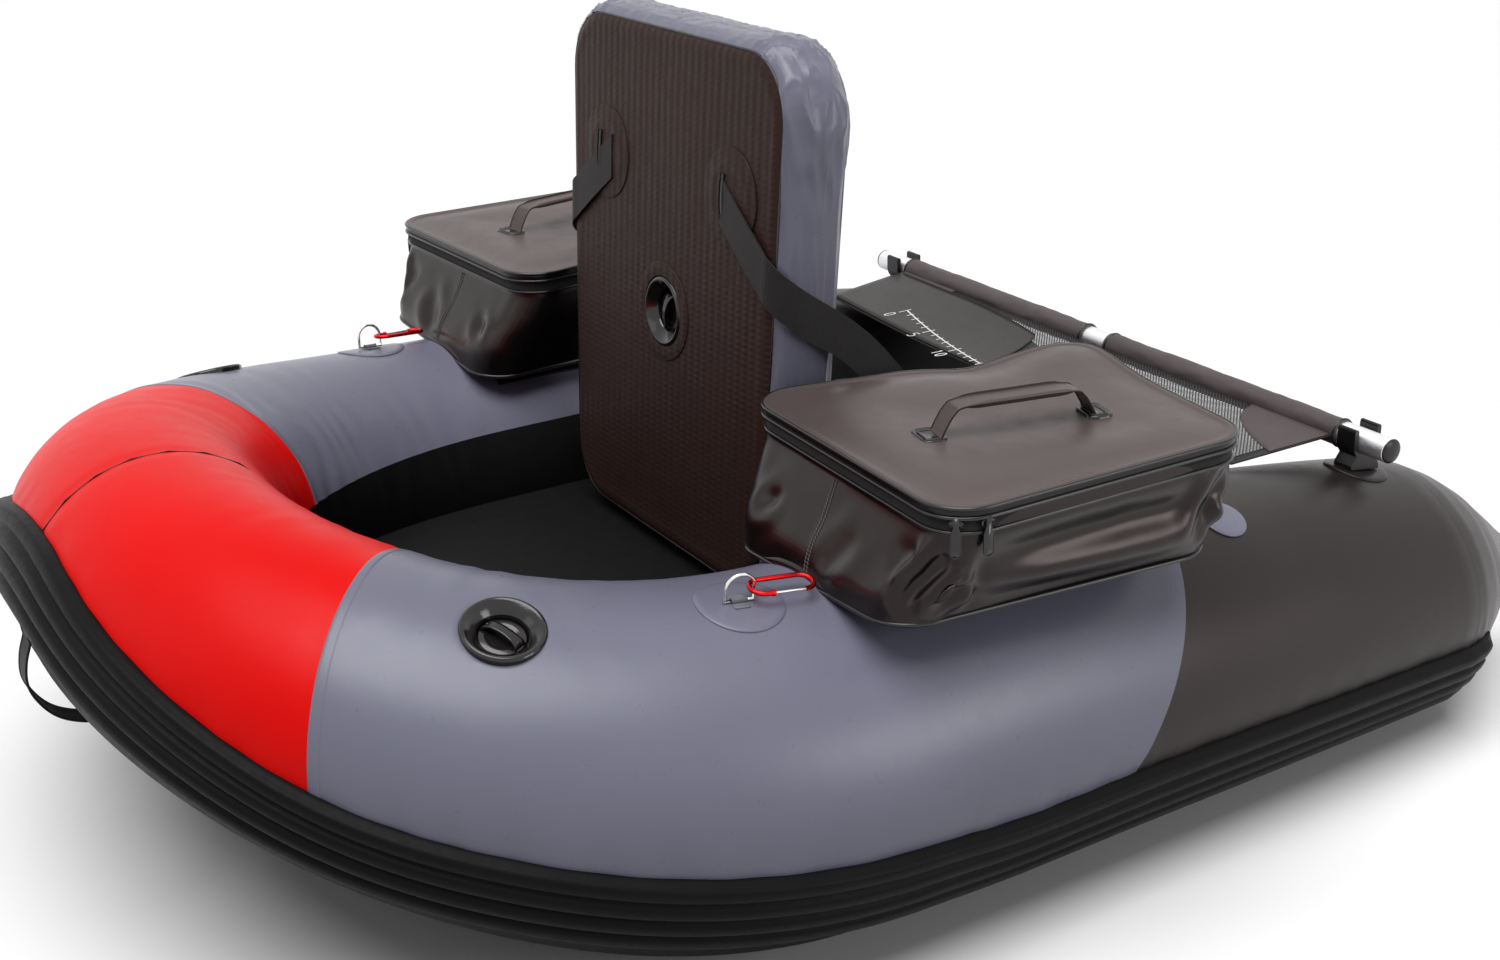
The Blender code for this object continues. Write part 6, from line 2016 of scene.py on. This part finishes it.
bore = BAR_RADIUS - BAR_WALL
side_end = [(BAR_RADIUS, BAR_HALF - BAR_CHAMFER), (BAR_RADIUS - BAR_CHAMFER, BAR_HALF), (bore, BAR_HALF)]
tube_profile = [(radius, -x) for radius, x in reversed(side_end)]
tube_profile += [(BAR_RADIUS, x) for x in spread(-BAR_PLAIN_HALF, BAR_PLAIN_HALF, 12)] + side_end
along_bar("bar_tube", tube_profile, ALUMINIUM, "cross_bar")
dome = []
for a in spread(0, 1.56, 8):
    dome.append((BAR_RADIUS * math.cos(a), CAP_BRIM + (BAR_CAP - CAP_BRIM) * math.sin(a)))
cap = [(0.0001, -CAP_PLUG), (bore - 0.0008, -CAP_PLUG), (bore - 0.0005, 0.0002),
       (BAR_RADIUS - 0.0004, 0.0003), (BAR_RADIUS - 0.0001, CAP_BRIM)] + dome
for word, hand in SIDES:
    profile = [(radius, BAR_HALF + x) for radius, x in cap]
    along_bar(f"bar_end_{word}", profile, SATIN_PLASTIC, f"bar_cap_{word}", hand)
print("bar", round(2 * BAR_HALF, 3), "long")

# %% [markdown]
# The sleeves are tubes of looser, matt cloth. Noise round the tube makes them bag a little, but never
# inwards through the bar. Their bound ends are fine beads, and the wall turns back on itself there to show
# its thickness.

# %% Sleeves on the bar
SLEEVE_FABRIC = coated_fabric("sleeve_fabric", (0.066, 0.050, 0.050), 0.62, weave=0.0013, grain=0.00009,
                              uneven=0.001)
SLEEVE_INNER = BAR_RADIUS + 0.0003
SLEEVE_OUTER = SLEEVE_INNER + SLEEVE_CLOTH
SLEEVE_BEAD = 0.0011
SLEEVE_TURNS = spread(0, math.tau, 40)[:-1]
SLEEVE_BINDINGS = (("inner", SLEEVE_FIRST + 0.004), ("outer", SLEEVE_LAST - 0.003))


def round_bar(x, radii):
    """Ring about the bar's centre line, with a radius for each turn."""
    ring = []
    for a, radius in zip(SLEEVE_TURNS, radii):
        ring.append(Vector((x, BAR_Y + radius * math.cos(a), BAR_HEIGHT + radius * math.sin(a))))
    return ring


def sleeve(word, hand):
    seed = hand < 0
    rows = []
    for x in spread(SLEEVE_FIRST, SLEEVE_LAST, 60):
        radii = []
        for a in SLEEVE_TURNS:
            y, z = math.cos(a), math.sin(a)
            wrinkle = 0.0010 * noise.noise(Vector((x * 26, y * 1.4, z * 1.4 + 4 * seed)))
            wrinkle += 0.0006 * noise.noise(Vector((x * 70, y * 2.4, z * 2.4)))
            ends = ease(min(x - SLEEVE_FIRST, SLEEVE_LAST - x), 0, 0.02)
            radii.append(SLEEVE_OUTER + max(wrinkle, -SLEEVE_CLOTH * 0.5) * ends)
        rows.append(round_bar(x, radii))
    rows += [round_bar(x, [SLEEVE_INNER] * len(SLEEVE_TURNS)) for x in (SLEEVE_LAST, SLEEVE_FIRST)]
    rows.append(rows[0])
    mesh = skin(f"sleeve_cloth_{word}", rows, around=True)
    if hand < 0:
        mesh.transform(FLIP)
    piece(crease(weld(mesh), 60), SLEEVE_FABRIC, "bar", (f"apron_sleeve_{word}",))
    for mark, x in SLEEVE_BINDINGS:
        ring = round_bar(hand * x, [SLEEVE_OUTER + 0.0002] * len(SLEEVE_TURNS))
        bead(f"sleeve_binding_{mark}_{word}", ring, SLEEVE_BEAD, PIPING_VINYL, "bar")


for word, hand in SIDES:
    sleeve(word, hand)
print("sleeve", round(SLEEVE_LAST - SLEEVE_FIRST, 3), "long")

# %% [markdown]
# The apron hangs from the bar to its front edge and sags in the middle. One function gives any place on
# it, so the net, its bound edges, the stiff corners and the solid panel all share the same sag, each at
# its own height. The net's holes are in its material, because threads this fine would need millions of
# faces.

# %% Apron
APRON_FRONT = 0.527 + AFT
APRON_REAR = BAR_Y - BAR_RADIUS - SLEEVE_CLOTH - 2 * TOUCH
APRON_FRONT_HALF = 0.372
APRON_REAR_HALF = 0.388
APRON_SAG = 0.014
APRON_FRONT_HEIGHT = 0.314
APRON_CLOTH = 0.0016
PANEL_CLOTH = 0.0012
PANEL_LIFT = APRON_CLOTH + 2 * TOUCH
NET_PITCH = 0.0032
NET_COLOUR = (0.015, 0.013, 0.013)
NET_OPEN, NET_SOLID = 0.42, 0.56     # where a thread's wave fades out, and where it is full
NET_CLOTH = 0.0004
NET_LIFT = 0.0006
BINDING_WIDTH = 0.014


def apron_half(back):
    return APRON_FRONT_HALF + (APRON_REAR_HALF - APRON_FRONT_HALF) * back


def apron_point(across, back, lift=0.0):
    """Place on the sagging apron: -1 to 1 across the boat, 0 at the front edge and 1 at the bar."""
    half = apron_half(back)
    y = APRON_FRONT + (APRON_REAR - APRON_FRONT) * back
    rear_height = BAR_HEIGHT - APRON_CLOTH / 2
    level = APRON_FRONT_HEIGHT + (rear_height - APRON_FRONT_HEIGHT) * back
    sag = APRON_SAG * (1 - across * across) * (1 - back * back)
    ripple = 0.0011 * noise.noise(Vector((across * 3.1, back * 0.8, 5.0))) * (1 - across * across)
    return Vector((half * across, y, level - sag + ripple + lift))


def net_finish(name):
    """Knotless net: round threads both ways, clear between them."""
    f = Finish(name)
    along = f.math("POWER", f.waves(NET_PITCH, DIAGONAL), 1.6)
    across = f.math("POWER", f.waves(NET_PITCH, -DIAGONAL), 1.6)
    threads = f.math("MAXIMUM", along, across)
    f.tinted(NET_COLOUR, 0.7, 1.4, f.noise(30, 3))
    f.bump(threads, NET_CLOTH)
    holes = f.node("MapRange", {"From Min": NET_OPEN, "From Max": NET_SOLID})
    f.link(threads, holes.inputs["Value"])
    f.link(holes.outputs["Result"], f.shader.inputs["Alpha"])
    f.set(Roughness=0.6)
    return f.material


def apron_sheet(name, rows, finish, thick, nodes=()):
    item = piece(skin(name, rows), finish, "bar", nodes)
    give_thickness(item, thick)
    return item


def bound_edge(name, places):
    path = [apron_point(a, b, APRON_CLOTH / 2) for a, b in places]
    edge = strip_solid(name, path, [UP] * len(path), BINDING_WIDTH, APRON_CLOTH * 1.1)
    return piece(edge, WEBBING_BLACK, "bar")


NET = net_finish("apron_net")
net_rows = []
for across in spread(-1, 1, 80):
    net_rows.append([apron_point(across, back, NET_LIFT) for back in spread(0, 1, 22)])
net = apron_sheet("apron_cloth", net_rows, NET, NET_CLOTH, ("apron_mesh",))
edges = [bound_edge("apron_edge_front", [(a, 0.03) for a in spread(-0.995, 0.995, 50)])]
for word, hand in SIDES:
    edges.append(bound_edge(f"apron_edge_{word}", [(hand * 0.985, b) for b in spread(0.0, 1.0, 12)]))
print("net faces", len(net.data.polygons))

# %% [markdown]
# Two stiff triangles of sleeve cloth hold the apron's rear corners, and a solid panel covers the left
# half. Both are grids on the same sag whose far edge is a curve, so they bend with the net and never cut
# through it.

# %% Apron corners and panel
CORNER_START = 0.70
CORNER_CLOTH = 0.0008
PANEL_END = -0.14
PANEL_LEAVES = 0.66     # share of the way across at which the panel's edge leaves the bar


def corner_reach(across):
    """The stiff corner widens toward the tube, with a rounded inner edge."""
    share = (abs(across) - CORNER_START) / 0.30
    return max(1 - 0.62 * math.sqrt(max(share, 0)), 0.3)


def stiff_corner(word, hand):
    rows = []
    for share in spread(0, 1, 18):
        across = hand * (CORNER_START + 0.295 * share)
        front = corner_reach(across)
        rows.append([apron_point(across, back, APRON_CLOTH * 0.8) for back in spread(front, 1, 10)])
    return apron_sheet(f"apron_corner_{word}", rows, SLEEVE_FABRIC, CORNER_CLOTH)


def panel_reach(across):
    """The panel's rear edge leaves the bar and curves away to its inner end."""
    share = min(max((across + PANEL_LEAVES) / (PANEL_END + PANEL_LEAVES), 0), 1)
    corner = math.sqrt(max(1 - ease(share, 0.86, 1) ** 2, 0))
    return (0.94 - 0.16 * share ** 2) * (0.35 + 0.65 * corner)


corners = [stiff_corner(word, hand) for word, hand in SIDES]
panel_rows = []
for across in spread(-0.996, PANEL_END, 50):
    reach = panel_reach(across)
    panel_rows.append([apron_point(across, back * reach, PANEL_LIFT) for back in spread(0, 1, 14)])
panel = apron_sheet("apron_plate", panel_rows, BLACK_FABRIC, PANEL_CLOTH, ("apron_panel",))
print("apron", round(APRON_REAR - APRON_FRONT, 3), "deep")

# %% [markdown]
# The scale is printed in white ink: a curved line, a tick for each step and a number at every fifth. Ink
# has no thickness to speak of, so it is a set of flat ribbons a hair above the panel, each point dropped
# onto it.

# %% Measuring scale
SCALE_FIRST = (-0.70, 0.34)
SCALE_BEND = (-0.42, 0.13)
SCALE_LAST = (-0.16, 0.045)
SCALE_STEPS = 14
INK_LIFT = PANEL_LIFT + PANEL_CLOTH + 0.0003
DIGIT_HALF = (0.0062, 0.0078)
DIGIT_PITCH = 0.0105
DIGIT_ASIDE = 0.025
STEPS_PER_NUMBER = 5
LONG_TICK, SHORT_TICK = 0.012, 0.007
LINE_INK, TICK_INK, DIGIT_INK = 0.0022, 0.0018, 0.0020
DIGIT_STROKES = {
    "0": [[(math.cos(a) * 0.5, math.sin(a)) for a in spread(0, math.tau, 16)]],
    "1": [[(-0.3, 0.6), (0, 1), (0, -1)]],
    "5": [[(0.45, 1), (-0.4, 1), (-0.45, 0.15), (0, 0.3), (0.45, 0.05), (0.5, -0.4), (0.2, -0.9),
           (-0.5, -0.95)]],
}


def on_panel(place):
    """The printed surface of the panel above or below a place."""
    back = (place.y - APRON_FRONT) / (APRON_REAR - APRON_FRONT)
    return apron_point(place.x / apron_half(back), back, INK_LIFT)


def scale_place(share):
    """Place along the curved scale, and the directions along and across it there."""
    first, bend, last = (Vector(p) for p in (SCALE_FIRST, SCALE_BEND, SCALE_LAST))
    place = first * (1 - share) ** 2 + bend * 2 * share * (1 - share) + last * share ** 2
    spot = apron_point(place.x, place.y)
    ahead = apron_point(*(place + (last - first) * 0.01))
    along = (ahead - spot).normalized()
    return spot, along, UP.cross(along).normalized()


def ink_line(faces, points, places, width):
    """Flat printed line through the places, as quads in one shared list."""
    start = len(points)
    places = [on_panel(place) for place in places]
    for k, place in enumerate(places):
        aside = UP.cross(step_at(places, k)).normalized() * width / 2
        points += [place - aside, place + aside]
    for k in range(len(places) - 1):
        low = start + 2 * k
        faces.append((low, low + 1, low + 3, low + 2))


def measuring_scale():
    points, faces = [], []
    ink_line(faces, points, [scale_place(s)[0] for s in spread(0, 1, 40)], LINE_INK)
    for k in range(SCALE_STEPS + 1):
        spot, along, aside = scale_place(k / SCALE_STEPS)
        numbered = k % STEPS_PER_NUMBER == 0
        long = LONG_TICK if numbered else SHORT_TICK
        ink_line(faces, points, [spot + aside * long / 2, spot, spot - aside * long], TICK_INK)
        for place, digit in enumerate(str(k) if numbered else ""):
            centre = spot - aside * DIGIT_ASIDE + along * DIGIT_PITCH * (place - (len(str(k)) - 1) / 2)
            for stroke in DIGIT_STROKES[digit]:
                drawn = [centre + along * u * DIGIT_HALF[0] + aside * v * DIGIT_HALF[1] for u, v in stroke]
                ink_line(faces, points, drawn, DIGIT_INK)
    mesh = bpy.data.meshes.new("apron_scale")
    mesh.from_pydata([tuple(p) for p in points], [], faces)
    return piece(mesh, INK, "bar")


def ink_finish(name):
    f = Finish(name)
    f.tinted((0.80, 0.80, 0.79), 0.88, 1.0, f.noise(70, 4))
    f.ranged(f.noise(200, 3), 0.42, 0.6)
    f.bump(f.noise(500, 2), 0.00002)
    return f.material


INK = ink_finish("white_print")
scale = measuring_scale()
print("scale marks", SCALE_STEPS + 1)

# %% [markdown]
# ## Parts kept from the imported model
# The floor panel, the baffle inside the bow and the two bar clips are plain enough as they are. They only
# need their materials, and the clips a small rounding of their moulded edges.

# %% Kept parts
FLOOR_FABRIC = coated_fabric("floor_fabric", (0.006, 0.0056, 0.006), 0.5, weave=0.002, grain=0.00012,
                             shine=0.12)
CLIP_ROUNDING = 0.0006


def dressed(node, finish, rounding=0.0):
    item = bpy.data.objects[node]
    item.data.materials.clear()
    item.data.materials.append(finish)
    if rounding:
        edge = item.modifiers.new("moulded_edge", "BEVEL")
        edge.width = rounding
        edge.segments = 2
        edge.limit_method = "ANGLE"
        edge.angle_limit = math.radians(40)


dressed("floor_panel", FLOOR_FABRIC)
dressed("bow_baffle", BLACK_FABRIC)
for word, hand in SIDES:
    dressed(f"bar_clip_{word}", SATIN_PLASTIC, CLIP_ROUNDING)
print("kept parts have", FLOOR_FABRIC.name, "and", SATIN_PLASTIC.name)

# %% [markdown]
# ## Floor
# A pale, matt floor carries the shadow under the boat. It isn't part of the boat, so it is put on the
# stage. It looks nearly white, but sends back only a little light, so that black fabric stays black from
# below.

# %% Studio floor
FLOOR_BOUNCE = 0.30
FLOOR_REACH = 14.0
FLOOR_DROP = 0.0004
floor_mesh = bpy.data.meshes.new("studio_floor")
near, far = -FLOOR_REACH, FLOOR_REACH
floor_corners = [(x, y, -FLOOR_DROP) for x, y in ((near, near), (far, near), (far, far), (near, far))]
floor_mesh.from_pydata(floor_corners, [], [(0, 1, 2, 3)])
paper = Finish("studio_paper")
white = paper.tinted((0.90, 0.90, 0.90), 0.995, 1.0, paper.noise(3, 3))
dim = paper.node("Mix", {"A": (FLOOR_BOUNCE, FLOOR_BOUNCE, FLOOR_BOUNCE, 1)}, data_type="RGBA")
paper.link(white.outputs["Result"], dim.inputs["B"])
paper.link(seen_directly(paper.tree), dim.inputs["Factor"])
paper.link(dim.outputs["Result"], paper.shader.inputs["Base Color"])
paper.set(Roughness=0.9, Specular_IOR_Level=0.1)
floor_mesh.materials.append(paper.material)
placed_object("studio_floor", floor_mesh)
print("floor", 2 * FLOOR_REACH, "m wide")
